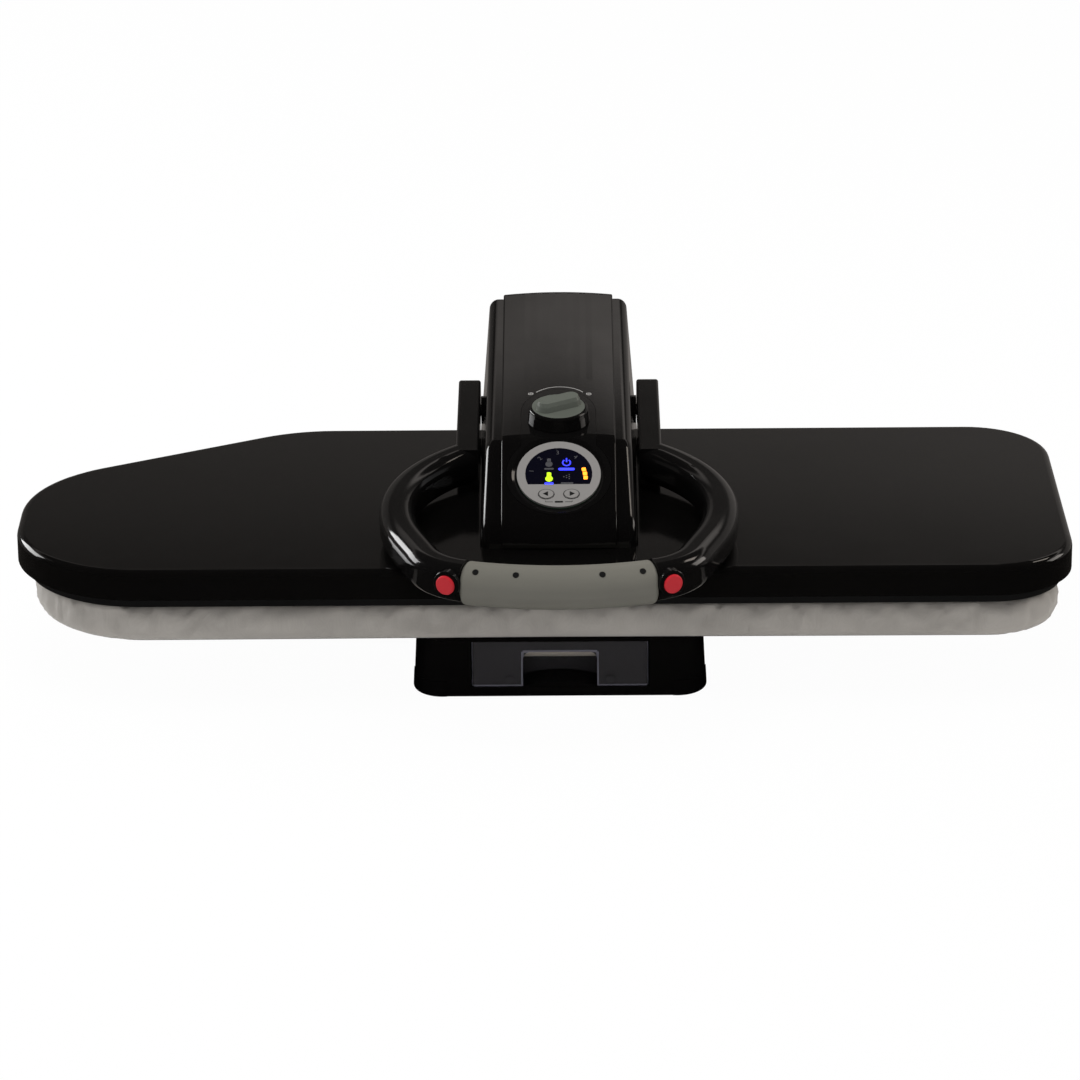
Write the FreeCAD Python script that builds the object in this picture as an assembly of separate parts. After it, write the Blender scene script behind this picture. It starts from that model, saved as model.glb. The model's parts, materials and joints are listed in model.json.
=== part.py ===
"""Steam ironing press with a hinged head, drawn in millimetres.

The frame: +X runs along the pressing plate to the user's right, -Y points at the
user and +Z is up. The origin is on the table, under the middle of the whole press.
Inside this file the pieces are drawn about the middle of the board in X and Y, and
keep() moves each of them by the board's own offset from the origin.
"""
import FreeCAD, Part
import os
from math import acos, asin, atan2, cos, degrees, hypot, pi, radians, sin, tan

# Pressing plate and its cover, seen from above
plate_length = 1010.0
plate_depth = 385.0
plate_corner_radius = 80.0
side_lean = 0.65
taper_length = 257.0
taper_angle = 28.5
taper_blend_radius = 150.0
nose_rear_radius = 132.0
nose_front_radius = 125.0
arm_x = 16.0

# Heights of the pressing stack above the table
pad_bottom = 72.3
pad_height = 36.7
pad_gap = 0.3
cover_height = 29.0
cover_edge_radius = 7.0
cover_wall = 2.5
cover_flange = 16.0
band_height = 10.5
band_inset = 10.0
band_wall = 4.0
heat_plate_thickness = 8.0
heat_plate_reach = 1.2
pad_inset = 12.0
pad_skin = 3.0
pad_hem = 42.0
pad_side = 13.0
pad_bottom_radius = 5.0
pad_top_radius = 6.0
tray_thickness = 9.0
tray_wall = 2.0
steam_hole = 4.0
steam_rows = 4
steam_columns = 10
steam_row_pitch = 72.0
steam_column_pitch = 82.0
chamber_height = 12.0
chamber_length = 492.0
stud_diameter = 12.0
stud_collar = 20.0
stud_spacing = 36.0
stud_front_y = -118.0
stud_rear_y = 142.0
stud_head_height = 5.0
shield_z = 134.0
shield_thickness = 1.2
web_thickness = 4.0
rail_spacing = 124.0
rail_section = 26.0
post_diameter = 16.0
post_y = 118.0

# Hinge of the head and its column
hinge_y = 240.0
hinge_z = 128.0
hinge_shaft_diameter = 16.0
hub_radius = 27.0
cheek_inner = 36.0
cheek_thickness = 4.0
cheek_front = -28.0
cheek_rear = 22.0
ear_inner = 29.9
ear_thickness = 4.0
ear_front_y = -130.0
bush_diameter = 22.0
cover_gap = 3.0
ear_front_height = 14.0
ear_bend_y = -40.0
ear_bend_height = 46.0
ear_pivot_cover = 30.0
ear_heel_height = 44.0
ear_heel_reach = 16.0
bush_flange = 3.0
bush_flange_diameter = 30.0
hinge_cap = 3.0
hinge_cap_diameter = 24.0
shroud_inner = 42.0
shroud_wall = 3.0
shroud_front = -33.0
shroud_rear = 32.0
shroud_rear_drop = 8.0
shroud_front_drop = 34.0
running_fit = 0.05
tail_pin_y = 17.0
tail_pin_z = 12.0
spring_diameter = 13.0
spring_spacing = 14.0
spring_pin = 6.0
spring_wire = 2.5
spring_hook = 20.0
anchor_z = 26.0

# Handle pivot, crank and the two toggle links
pivot_y = 185.0
pivot_z = 172.0
handle_shaft_diameter = 12.0
crank_y = 24.25
crank_z = -14.0
link_y = 250.0
link_z = 110.0
crank_inner = 51.0
crank_thickness = 4.0
link_inner = 56.0
link_thickness = 4.0
link_pin_diameter = 8.0
open_pivot_clearance = 0.35

# Arm housing over the head
housing_width = 150.4
housing_draft = 4.5
housing_taper = -0.28
housing_wall = 3.0
housing_shoulder = 9.0
housing_rear = 286.0
housing_side_bottom = 94.0
housing_back_bottom = 152.0
panel_rise = 7.0
panel_width = 110.0
panel_thickness = 6.5
panel_crown = 2.6
panel_edge_radius = 1.5
lip_y = -144.0
lip_angle = 75.0
display_y = -84.0
display_z = 205.6
display_slope = 30.0
knob_y = -8.0
knob_z = 232.5
knob_slope = 6.8
front_bend_radius = 45.0
middle_bend_radius = 40.0
rear_bend_radius = 14.0
groove_count = 6
groove_pitch = 12.2
groove_width = 6.0
groove_depth = 1.6
groove_start_y = 80.0
bezel_radius = 50.5
bezel_neck = 72.0
bezel_neck_front = 60.0
bezel_arch_start = 18.0
bezel_arch_height = 46.0
bezel_gap = 0.35
dish_depth = 4.0

# Display and knob
display_radius = 40.1
window_radius = 32.0
window_chord = 12.6
set_button_width = 13.6
set_button_depth = 10.4
set_button_spacing = 24.0
set_button_drop = 24.8
set_button_gap = 0.3
set_button_proud = 0.9
set_button_travel = 0.8
knob_diameter = 60.0
knob_height = 13.7
knob_insert_diameter = 51.0
knob_bar_length = 46.0
knob_bar_width = 19.0
knob_bar_height = 9.0
knob_bar_turn = 27.0
knob_shaft_diameter = 8.0
knob_gap = 0.5
valve_width = 40.0
valve_depth = 34.0
face_thickness = 2.5
face_sink = 1.0

# Loop handle
loop_front_y = -277.0
loop_front_radius = 300.0
grip_half_length = 87.7
loop_corner_radius = 60.0
loop_side_radius = 225.0
loop_rear_radius = 180.0
loop_half_width = 154.0
loop_middle_y = -112.0
loop_z = 170.0
loop_tilt = 1.5
tube_width = 34.0
tube_height = 37.0
tube_radius = 13.0
tube_split = -6.0
grip_width = 38.0
grip_height = 40.0
grip_radius = 17.0
grip_drop = 1.9
grip_core = 8.0
arm_inner = 78.0
arm_width = 22.0
arm_end_y = 209.0
shaft_setback = 7.0
red_button_diameter = 18.5
red_button_angle = 25.5
red_button_rise = 2.5
red_button_travel = 3.0
boss_diameter = 26.0
boss_reach = 21.0
plug_diameter = 6.0
plug_length = 3.0
plug_proud = 0.3
plug_lean = 54.5
plug_spread = 74.3
plug_spread_inner = 38.4

# Base with its water tank
base_width = 280.6
base_front = -150.0
base_rear = 281.0
base_height = 62.0
base_draft = 3.0
base_front_draft = 2.0
base_corner = 28.0
base_wall = 3.0
base_clearance = 1.5
floor_thickness = 4.0
foot_diameter = 30.0
block_width = 32.0
block_height = 18.0
block_proud = 0.8
block_reach = 40.0
tank_width = 170.0
tank_bottom = 12.0
tank_top = 58.0
tank_length = 190.0
tank_wall = 2.5
tank_fit = 0.4
recess_width = 71.0
recess_height = 35.7
recess_depth = 30.0
recess_slope = 15.0
recess_fall = 10.7
rail_width = 70.0
rail_height = 5.0
dock_diameter = 24.0
inlet_diameter = 24.0
inlet_setback = 52.5
inlet_z = 34.0
inlet_flange = 30.0
latch_setback = 37.0
base_foot_radius = 4.0

plate_bottom = pad_bottom + pad_height + pad_gap
band_bottom = plate_bottom + heat_plate_reach
cover_bottom = band_bottom + band_height
cover_top = cover_bottom + cover_height
panel_half = panel_width / 2
loop_front_half_angle = degrees(asin(grip_half_length / loop_front_radius))
loop_front_reach = -loop_front_y + grip_width / 2
board_y = (loop_front_reach - housing_rear) / 2


def vec(x, y, z):
    return FreeCAD.Vector(x, y, z)


def on_floor(u, v):
    return vec(u, v, 0)


def on_side(u, v):
    return vec(0, u, v)


def rounded_wire(corners, radii, place):
    """A closed wire through corners (u, v), each rounded by its radius."""
    edges = []
    starts = []
    ends = []
    count = len(corners)
    for i in range(count):
        here = place(*corners[i])
        before = (place(*corners[i - 1]) - here).normalize()
        after = (place(*corners[(i + 1) % count]) - here).normalize()
        radius = radii[i]
        half = before.getAngle(after) / 2
        reach = radius / tan(half)
        start = here + before * reach
        end = here + after * reach
        starts.append(start)
        ends.append(end)
        if radius > 0:
            bisector = (before + after).normalize()
            middle = here + bisector * (radius / sin(half) - radius)
            edges.append(Part.Arc(start, middle, end).toShape())
    sides = []
    for i in range(count):
        a = ends[i]
        b = starts[(i + 1) % count]
        if a.distanceToPoint(b) > 1e-4:
            sides.append(Part.LineSegment(a, b).toShape())
    return Part.Wire(Part.__sortEdges__(edges + sides))


def prism(corners, radii, place, start, reach):
    """The rounded outline moved by start, then pushed along reach."""
    face = Part.Face(rounded_wire(corners, radii, place))
    face.translate(start)
    return face.extrude(reach)


def box(x0, x1, y0, y1, z0, z1):
    return Part.makeBox(x1 - x0, y1 - y0, z1 - z0, vec(x0, y0, z0))


def rod(diameter, length, start, along):
    return Part.makeCylinder(diameter / 2, length, start, along)


def cross_rod(diameter, x0, x1, y, z):
    return rod(diameter, x1 - x0, vec(x0, y, z), vec(1, 0, 0))


def join(shapes):
    whole = shapes[0]
    for other in shapes[1:]:
        whole = whole.fuse(other)
    return whole.removeSplitter()


def mirrored(shape):
    """The same piece on the other side of the arm's middle plane."""
    return shape.mirror(vec(arm_x, 0, 0), vec(1, 0, 0))


def both_sides(shape):
    return Part.makeCompound([shape, mirrored(shape)])


def keep(name, shape):
    os.makedirs("parts", exist_ok=True)
    moved = shape.copy()
    moved.translate(vec(0, board_y, 0))
    moved.exportStep("parts/" + name + ".step")


def plate_corners(inset):
    """The five sharp corners of the plate's outline, drawn in by inset."""
    half = plate_length / 2
    front = -plate_depth / 2
    rear = plate_depth / 2
    lean = radians(side_lean)
    centre_x = half - plate_corner_radius
    centre_y = front + plate_corner_radius

    def side_x(y):
        return centre_x + (plate_corner_radius - (y - centre_y) * sin(lean)) / cos(lean)

    fall = tan(radians(taper_angle))
    sharp = [(-half, front), (side_x(front), front), (side_x(rear), rear),
             (-half + taper_length, rear), (-half, rear - taper_length * fall)]
    drawn = []
    for i in range(5):
        drawn.append(shifted_corner(sharp[i - 1], sharp[i], sharp[(i + 1) % 5], inset))
    return drawn


def shifted_corner(before, here, after, inset):
    """Where the two sides at a corner meet once both have moved inward."""
    ax, ay = here[0] - before[0], here[1] - before[1]
    bx, by = after[0] - here[0], after[1] - here[1]
    la, lb = hypot(ax, ay), hypot(bx, by)
    ax, ay, bx, by = ax / la, ay / la, bx / lb, by / lb
    px, py = here[0] - ay * inset, here[1] + ax * inset
    qx, qy = here[0] - by * inset, here[1] + bx * inset
    step = ((qx - px) * by - (qy - py) * bx) / (ax * by - ay * bx)
    return px + ax * step, py + ay * step


def plate_radii(inset):
    return [nose_front_radius - inset, plate_corner_radius - inset, plate_corner_radius - inset,
            taper_blend_radius - inset, nose_rear_radius - inset]


def plate_slab(inset, z0, z1):
    return prism(plate_corners(inset), plate_radii(inset), on_floor, vec(0, 0, z0), vec(0, 0, z1 - z0))


def edges_at(shape, z):
    """The edges that lie wholly at one height."""
    found = []
    for edge in shape.Edges:
        bounds = edge.BoundBox
        if abs(bounds.ZMin - z) < 1e-3 and abs(bounds.ZMax - z) < 1e-3:
            found.append(edge)
    return found


def stud_places():
    return [(arm_x + side * stud_spacing / 2, y) for side in (-1, 1) for y in (stud_front_y, stud_rear_y)]


def make_head_cover():
    """Moulded lid with a soft top edge and an in-turned flange below."""
    outer = plate_slab(0, cover_bottom, cover_top)
    outer = outer.makeFillet(cover_edge_radius, edges_at(outer, cover_top))
    room = plate_slab(cover_wall, cover_bottom + cover_wall, cover_top - cover_wall)
    room = room.makeFillet(cover_edge_radius - cover_wall, edges_at(room, cover_top - cover_wall))
    mouth = plate_slab(cover_flange, cover_bottom, cover_bottom + cover_wall)
    cover = outer.cut(room.fuse(mouth))
    for x, y in stud_places():
        cover = cover.cut(rod(stud_diameter + 2 * running_fit, cover_height, vec(x, y, cover_bottom),
                              vec(0, 0, 1)))
    keep("head_cover", cover)


def make_heat_plate_frame():
    outer = plate_slab(band_inset, band_bottom, cover_bottom)
    inner = plate_slab(band_inset + band_wall, band_bottom, cover_bottom)
    keep("heat_plate_frame", outer.cut(inner))


def make_heat_plate():
    """Cast plate with rows of blind steam holes in its pressing face."""
    inset = band_inset + band_wall
    top = plate_bottom + heat_plate_thickness
    plate = plate_slab(inset, plate_bottom, top)
    holes = []
    first_x = arm_x - (steam_columns - 0.5) * steam_column_pitch / 2
    first_y = -(steam_rows - 1) * steam_row_pitch / 2 - 12.0
    for row in range(steam_rows):
        for column in range(steam_columns):
            x = first_x + (column + row % 2 / 2) * steam_column_pitch
            y = first_y + row * steam_row_pitch
            spot = vec(x, y, plate_bottom)
            holes.append(rod(steam_hole, heat_plate_thickness / 2, spot, vec(0, 0, 1)))
    keep("heat_plate", plate.cut(Part.makeCompound(holes)))


def make_steam_chamber():
    top = plate_bottom + heat_plate_thickness
    front = stud_front_y + stud_collar
    rear = stud_rear_y - stud_collar
    left = arm_x - chamber_length / 2
    right = arm_x + chamber_length / 2
    corners = [(left, front), (right, front), (right, rear), (left, rear)]
    keep("steam_chamber", prism(corners, [24.0] * 4, on_floor, vec(0, 0, top), vec(0, 0, chamber_height)))


def make_plate_mounts():
    """Four studs that hang the heat plate and its shield from the arm."""
    studs = []
    low = plate_bottom + heat_plate_thickness
    for x, y in stud_places():
        up = vec(0, 0, 1)
        stud = rod(stud_diameter, cover_top + web_thickness - low, vec(x, y, low), up)
        collar = rod(stud_collar, shield_z - low, vec(x, y, low), up)
        head = rod(stud_collar, stud_head_height, vec(x, y, cover_top + web_thickness), up)
        studs.append(join([stud, collar, head]))
    keep("plate_mounts", Part.makeCompound(studs))


def make_heat_shield():
    shield = plate_slab(cover_flange + 6.0, shield_z, shield_z + shield_thickness)
    for x, y in stud_places():
        shield = shield.cut(rod(stud_diameter + 2 * running_fit, 9.0, vec(x, y, shield_z - 4), vec(0, 0, 1)))
    keep("heat_shield", shield)


def make_pad():
    """Stuffed cover with drawn-in sides, its foam, and the steel tray below."""
    top = pad_bottom + pad_height
    outer = plate_slab(pad_inset, pad_bottom, top)
    outer = outer.makeFillet(pad_bottom_radius, edges_at(outer, pad_bottom))
    outer = outer.makeFillet(pad_top_radius, edges_at(outer, top))
    core_inset = pad_inset + pad_side
    floor = pad_bottom + pad_skin
    hem = plate_slab(pad_inset + pad_hem, pad_bottom, floor)
    core = plate_slab(core_inset, floor, top - pad_skin)
    keep("pad_cover", outer.cut(core).cut(hem))
    tray_top = floor + tray_thickness
    tray = plate_slab(core_inset + pad_gap, floor, tray_top)
    under = plate_slab(core_inset + 2 * tray_wall, floor, tray_top - tray_wall)
    keep("board_tray", tray.cut(under))
    keep("foam_pad", plate_slab(core_inset + pad_gap, tray_top, top - pad_skin - pad_gap))


def make_board_rails():
    """Two channel rails on the base, with posts up to the tray."""
    tray_under = pad_bottom + pad_skin + tray_thickness - tray_wall
    rail_top = pad_bottom - 1.0
    half = rail_section / 2
    end = post_y + rail_section
    x = arm_x + rail_spacing / 2
    rail = box(x - half, x + half, -end, end, base_height, rail_top)
    inside = half - tray_wall
    rail = rail.cut(box(x - inside, x + inside, -end - 1, end + 1, base_height, rail_top - tray_wall))
    low = rail_top - tray_wall
    posts = [rod(post_diameter, tray_under - low, vec(x, y, low), vec(0, 0, 1)) for y in (-post_y, post_y)]
    keep("board_rails", both_sides(join([rail] + posts)))


def upright(x0, thickness, front, rear, top_radius, foot):
    blade = box(x0, x0 + thickness, hinge_y + front, hinge_y + rear, foot, hinge_z)
    crown = cross_rod(2 * top_radius, x0, x0 + thickness, hinge_y, hinge_z)
    return join([blade, crown])


def make_column_frame():
    """Two steel cheeks that carry the hinge shaft, the springs and the links."""
    x0 = arm_x + cheek_inner
    foot = base_clearance + 1.0 + floor_thickness
    cheek = upright(x0, cheek_thickness, cheek_front, cheek_rear, -cheek_front - 3.0, foot)
    flange = box(x0 - 26.0, x0 + cheek_thickness, hinge_y + cheek_front, hinge_y + cheek_rear,
                 foot, foot + cheek_thickness)
    cheek = join([cheek, flange])
    cheek = cheek.cut(cross_rod(hinge_shaft_diameter, x0 - 1, x0 + 9, hinge_y, hinge_z))
    cheek = cheek.cut(cross_rod(link_pin_diameter, x0 - 1, x0 + 9, link_y, link_z))
    cheek = cheek.cut(cross_rod(spring_pin, x0 - 1, x0 + 9, hinge_y + tail_pin_y, anchor_z))
    keep("column_frame", both_sides(cheek))


def make_column_shroud():
    """Moulded casing round the cheeks, open above for the arm's ears."""
    x0 = arm_x + shroud_inner
    side = upright(x0, shroud_wall, shroud_front, shroud_rear, -shroud_front, base_height)
    edge = arm_x + shroud_inner + shroud_wall
    other = 2 * arm_x - edge
    rear = box(other, edge, hinge_y + shroud_rear - shroud_wall, hinge_y + shroud_rear,
               base_height, hinge_z - shroud_rear_drop)
    front = box(other, edge, hinge_y + shroud_front, hinge_y + shroud_front + shroud_wall,
                base_height, hinge_z - shroud_front_drop)
    shroud = join([side, mirrored(side), rear, front])
    shroud = shroud.cut(cross_rod(hinge_shaft_diameter, other - 1, edge + 1, hinge_y, hinge_z))
    shroud = shroud.cut(cross_rod(link_pin_diameter, other - 1, edge + 1, link_y, link_z))
    keep("column_shroud", shroud)


def make_hinge():
    """Shaft held in the cheeks; flanged bushes in the ears turn on it."""
    half = shroud_inner + shroud_wall + 2.0
    shaft = cross_rod(hinge_shaft_diameter, arm_x - half, arm_x + half, hinge_y, hinge_z)
    cap = cross_rod(hinge_cap_diameter, arm_x + half, arm_x + half + hinge_cap, hinge_y, hinge_z)
    keep("hinge_shaft", join([shaft, cap, mirrored(cap)]))
    inner = arm_x + ear_inner
    bush = cross_rod(bush_diameter, inner - bush_flange, inner + ear_thickness, hinge_y, hinge_z)
    flange = cross_rod(bush_flange_diameter, inner - bush_flange, inner, hinge_y, hinge_z)
    bore = cross_rod(hinge_shaft_diameter + 2 * running_fit, arm_x, arm_x + half, hinge_y, hinge_z)
    keep("hinge_bushes", both_sides(join([bush, flange]).cut(bore)))


def make_springs():
    """Lift springs from the arm's tail pin down to the anchor in the column."""
    pin_y = hinge_y + tail_pin_y
    pin_z = hinge_z + tail_pin_z
    for name, side in (("lift_spring_left", -1), ("lift_spring_right", 1)):
        x = arm_x + side * spring_spacing
        coil = rod(spring_diameter, pin_z - anchor_z - 2 * spring_hook, vec(x, pin_y, anchor_z + spring_hook),
                   vec(0, 0, 1))
        hook = spring_hook - spring_pin / 2
        low = rod(spring_wire, hook, vec(x, pin_y, anchor_z + spring_pin / 2), vec(0, 0, 1))
        high = rod(spring_wire, hook, vec(x, pin_y, pin_z - spring_hook), vec(0, 0, 1))
        keep(name, join([coil, low, high]))
    half = cheek_inner + cheek_thickness
    keep("spring_anchor_pin", cross_rod(spring_pin, arm_x - half, arm_x + half, pin_y, anchor_z))
    reach = ear_inner + ear_thickness
    keep("spring_tail_pin", cross_rod(spring_pin, arm_x - reach, arm_x + reach, pin_y, pin_z))


def make_arm_frame():
    """Steel channel on the cover, with two ears that reach back to the hinge."""
    low = cover_top
    back = plate_depth / 2 + cover_gap / 2
    under = hinge_z - hub_radius + 8.0
    corners = [(ear_front_y, low), (back, low), (back + cheek_inner - hub_radius + 5.0, under + 1.0),
               (hinge_y, under - 1.0), (hinge_y + hub_radius - 3.0, hinge_z),
               (hinge_y + ear_heel_reach, hinge_z + ear_heel_height), (pivot_y, pivot_z + ear_pivot_cover),
               (ear_bend_y, low + ear_bend_height), (ear_front_y, low + ear_front_height)]
    radii = [2, 1, 6, 2, 6, 20, 30, 60, 8]
    ear = prism(corners, radii, on_side, vec(arm_x + ear_inner, 0, 0), vec(ear_thickness, 0, 0))
    hub = cross_rod(2 * hub_radius, arm_x + ear_inner, arm_x + ear_inner + ear_thickness, hinge_y, hinge_z)
    ear = join([ear, hub])
    web = box(arm_x - ear_inner, arm_x + ear_inner, ear_front_y, back - 6, low, low + web_thickness)
    frame = join([ear, mirrored(ear), web])
    wide = 2 * (ear_inner + ear_thickness) + 2
    left = arm_x - wide / 2
    for diameter, y, z in ((bush_diameter, hinge_y, hinge_z),
                           (handle_shaft_diameter + 2 * running_fit, pivot_y, pivot_z),
                           (spring_pin, hinge_y + tail_pin_y, hinge_z + tail_pin_z)):
        frame = frame.cut(cross_rod(diameter, left, left + wide, y, z))
    for x, y in stud_places():
        frame = frame.cut(rod(stud_diameter, 9.0, vec(x, y, low - 2), vec(0, 0, 1)))
    keep("arm_frame", frame)


def panel_path(drop):
    """Side outline of the top panel, drop below its outer face, front to rear."""
    steep = tan(radians(lip_angle))
    face = tan(radians(display_slope))
    flat = tan(radians(knob_slope))
    lip_z = cover_top + 5.0
    # heights of the three sloping lines at y = 0, each moved down by drop
    a0 = lip_z - lip_y * steep - drop / cos(radians(lip_angle))
    b0 = display_z - display_y * face - drop / cos(radians(display_slope))
    c0 = knob_z - knob_y * flat - drop / cos(radians(knob_slope))
    front_corner_y = (b0 - a0) / (steep - face)
    middle_corner_y = (c0 - b0) / (face - flat)
    rear_y = housing_rear - drop
    return [(lip_y + drop / sin(radians(lip_angle)), lip_z),
            (front_corner_y, a0 + front_corner_y * steep),
            (middle_corner_y, b0 + middle_corner_y * face),
            (rear_y, c0 + rear_y * flat)]


def housing_body(drop, side_inset):
    """Drafted, tapered and shouldered body below the top panel."""
    path = panel_path(drop)
    rear_y = path[3][0]
    low = cover_top
    front_y = path[0][0] - (path[0][1] - low) / tan(radians(lip_angle))
    reach = plate_depth / 2 + cover_gap
    corners = [(front_y, low), path[1], path[2], path[3], (rear_y, housing_side_bottom),
               (reach, housing_side_bottom), (reach, low)]
    radii = [0, front_bend_radius - drop, middle_bend_radius - drop, rear_bend_radius - drop, 0, 0, 0]
    wide = prism(corners, radii, on_side, vec(arm_x - 120, 0, 0), vec(240, 0, 0))
    side = side_cutter(side_inset)
    body = wide.cut(side).cut(mirrored(side))
    return body


def side_half_width(y, z):
    """Half the housing's width at a place, from its draft and rearward taper."""
    return (housing_width / 2 - (z - cover_top) * tan(radians(housing_draft))
            - (y - lip_y) * tan(radians(housing_taper)))


def side_cutter(inset):
    """Everything outside one drafted side wall."""
    points = []
    for y, z in ((-400, 0), (500, 0), (500, 400), (-400, 400)):
        points.append(vec(arm_x + side_half_width(y, z) - inset, y, z))
    face = Part.Face(Part.makePolygon(points + [points[0]]))
    return face.extrude(vec(400, 0, 0))


def shoulder_edges(body):
    """The long edges where the roof meets the drafted walls."""
    found = []
    for edge in body.Edges:
        centre = edge.BoundBox.Center
        half = side_half_width(centre.y, centre.z)
        on_wall = abs(abs(centre.x - arm_x) - half) < 1.5
        roof = edge.BoundBox.ZMin > cover_top + 1.0
        if on_wall and roof:
            found.append(edge)
    return found


def make_arm_housing():
    """Hollow moulding with drafted walls, open below, over the arm and its hinge."""
    outer = housing_body(panel_rise, 0.0)
    outer = outer.makeFillet(housing_shoulder, shoulder_edges(outer))
    inner = housing_body(panel_rise + housing_wall, housing_wall)
    shell = outer.cut(inner)
    rear_face = housing_rear - panel_rise - housing_wall
    back = box(arm_x - housing_width, arm_x + housing_width, rear_face - 1, housing_rear, 0,
               housing_back_bottom)
    shell = shell.cut(back)
    display_room = Part.makeCylinder(display_radius + 1.0, 30.0, vec(0, 0, -20.0))
    valve_room = Part.makeBox(valve_width + 2, valve_depth + 2, 30.0,
                              vec(-valve_width / 2 - 1, -valve_depth / 2 - 1, -20.0))
    shell = shell.cut(at_display(display_room)).cut(at_knob(valve_room))
    boss = cross_rod(28.0, arm_x + side_half_width(pivot_y, pivot_z) - 2.6, arm_x + arm_inner - 0.4,
                     pivot_y, pivot_z)
    shell = join([shell, boss, mirrored(boss)])
    bore = cross_rod(handle_shaft_diameter + 1.0, arm_x - arm_inner, arm_x + arm_inner, pivot_y, pivot_z)
    keep("arm_housing", shell.cut(bore))


def panel_section(spot, normal):
    """Section of the top panel across its path: crowned above, flat below."""
    edge = panel_edge_radius
    near = panel_half - edge

    def place(x, height):
        return spot + vec(x, 0, 0) + normal * height

    top_near = -panel_crown * (near / panel_half) ** 2
    low = -panel_thickness
    side = -panel_crown - edge
    lines = [Part.LineSegment(place(-panel_half, side), place(-panel_half, low)),
             Part.LineSegment(place(-panel_half, low), place(panel_half, low)),
             Part.LineSegment(place(panel_half, low), place(panel_half, side))]
    bends = [Part.Arc(place(panel_half, side), place(panel_half - 0.3 * edge, side + 0.75 * edge),
                      place(near, top_near)),
             Part.Arc(place(near, top_near), place(0, 0), place(-near, top_near)),
             Part.Arc(place(-near, top_near), place(-panel_half + 0.3 * edge, side + 0.75 * edge),
                      place(-panel_half, side))]
    return Part.Face(Part.Wire([c.toShape() for c in lines + bends]))


def swept_panel():
    """The panel's section run along straights and bends of its side outline."""
    path = panel_path(0.0)
    path.append((path[3][0], housing_back_bottom + 20.0))
    radii = [front_bend_radius, middle_bend_radius, rear_bend_radius]
    pieces = []
    spot = vec(arm_x, *path[0])
    for i in range(len(path) - 1):
        here = vec(arm_x, *path[i])
        there = vec(arm_x, *path[i + 1])
        along = (there - here).normalize()
        normal = vec(0, -along.z, along.y)
        stop = there
        turn = 0.0
        if i < len(radii):
            after = (vec(arm_x, *path[i + 2]) - there).normalize()
            turn = along.getAngle(after)
            stop = there - along * (radii[i] * tan(turn / 2))
        if (stop - spot).Length > 0.01:
            pieces.append(panel_section(spot, normal).extrude(stop - spot))
        if turn:
            centre = stop - normal * radii[i]
            pieces.append(panel_section(stop, normal).revolve(centre, vec(-1, 0, 0), degrees(turn)))
            spot = there + after * (radii[i] * tan(turn / 2))
    return join(pieces)


def make_panel():
    """Crowned top panel with grooves; the keyhole control bezel is let into it."""
    strip = swept_panel()
    bezel = strip.common(keyhole(0.0))
    bezel = bezel.cut(display_recess()).cut(knob_bore())
    keep("control_bezel", bezel)
    keep("arm_top_panel", strip.cut(grooves()).cut(keyhole(bezel_gap)))


def sloped(slope, y, z):
    """A placement whose local Z is the outward normal of a slope through (y, z)."""
    turn = FreeCAD.Rotation(vec(1, 0, 0), slope)
    return FreeCAD.Placement(vec(arm_x, y, z), turn)


def at_display(shape):
    shape.Placement = sloped(display_slope, display_y, display_z).multiply(shape.Placement)
    return shape


def at_knob(shape):
    shape.Placement = sloped(knob_slope, knob_y, knob_z).multiply(shape.Placement)
    return shape


def keyhole(gap):
    """Cutter of the bezel's outline: a disc at the display, an arched neck past the knob."""
    radius = bezel_radius + gap
    disc = at_display(Part.makeCylinder(radius, 24.0, vec(0, 0, -12)))
    half = bezel_neck / 2 + gap
    neck = Part.makeBox(2 * half, bezel_neck_front + bezel_arch_start, 24.0,
                        vec(-half, -bezel_neck_front, -12.0))
    arch = oval(half, bezel_arch_height + gap, vec(0, bezel_arch_start, -12.0), 24.0)
    return disc.fuse(at_knob(neck.fuse(arch)))


def oval(half_width, half_depth, centre, height):
    """An upright bar whose section is an ellipse, longer along its larger half."""
    side = centre + vec(half_width, 0, 0)
    end = centre + vec(0, half_depth, 0)
    ends = (side, end) if half_width > half_depth else (end, side)
    ring = Part.Ellipse(ends[0], ends[1], centre).toShape()
    bar = Part.Face(Part.Wire([ring])).extrude(vec(0, 0, height))
    return bar


def grooves():
    cutters = []
    first = -(groove_count - 1) / 2
    flat = tan(radians(knob_slope))
    rear = panel_path(0.0)[3]
    for i in range(groove_count):
        x = arm_x + (first + i) * groove_pitch
        start_z = knob_z + (groove_start_y - knob_y) * flat
        half = groove_width / 2
        level = box(x - half, x + half, groove_start_y, rear[0] + 5, start_z - groove_depth, start_z + 40)
        tip = Part.makeCylinder(half, 40 + groove_depth, vec(x, groove_start_y, start_z - groove_depth))
        top = level.fuse(tip)
        top.rotate(vec(x, groove_start_y, start_z), vec(1, 0, 0), knob_slope)
        cutters.append(top)
        cutters.append(box(x - half, x + half, housing_rear - groove_depth, housing_rear + 5,
                           rear[1] - 62, rear[1] + 5))
    return Part.makeCompound(cutters)


def display_recess():
    """Dished seat of the display in the bezel."""
    cone = Part.makeCone(display_radius + 0.15, bezel_radius - 2.0, dish_depth, vec(0, 0, -dish_depth))
    well = Part.makeCylinder(display_radius + 0.15, 20.0, vec(0, 0, -20.0))
    return at_display(cone.fuse(well))


def knob_bore():
    return at_knob(Part.makeCylinder(knob_shaft_diameter / 2 + 0.6, 30.0, vec(0, 0, -20.0)))


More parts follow.
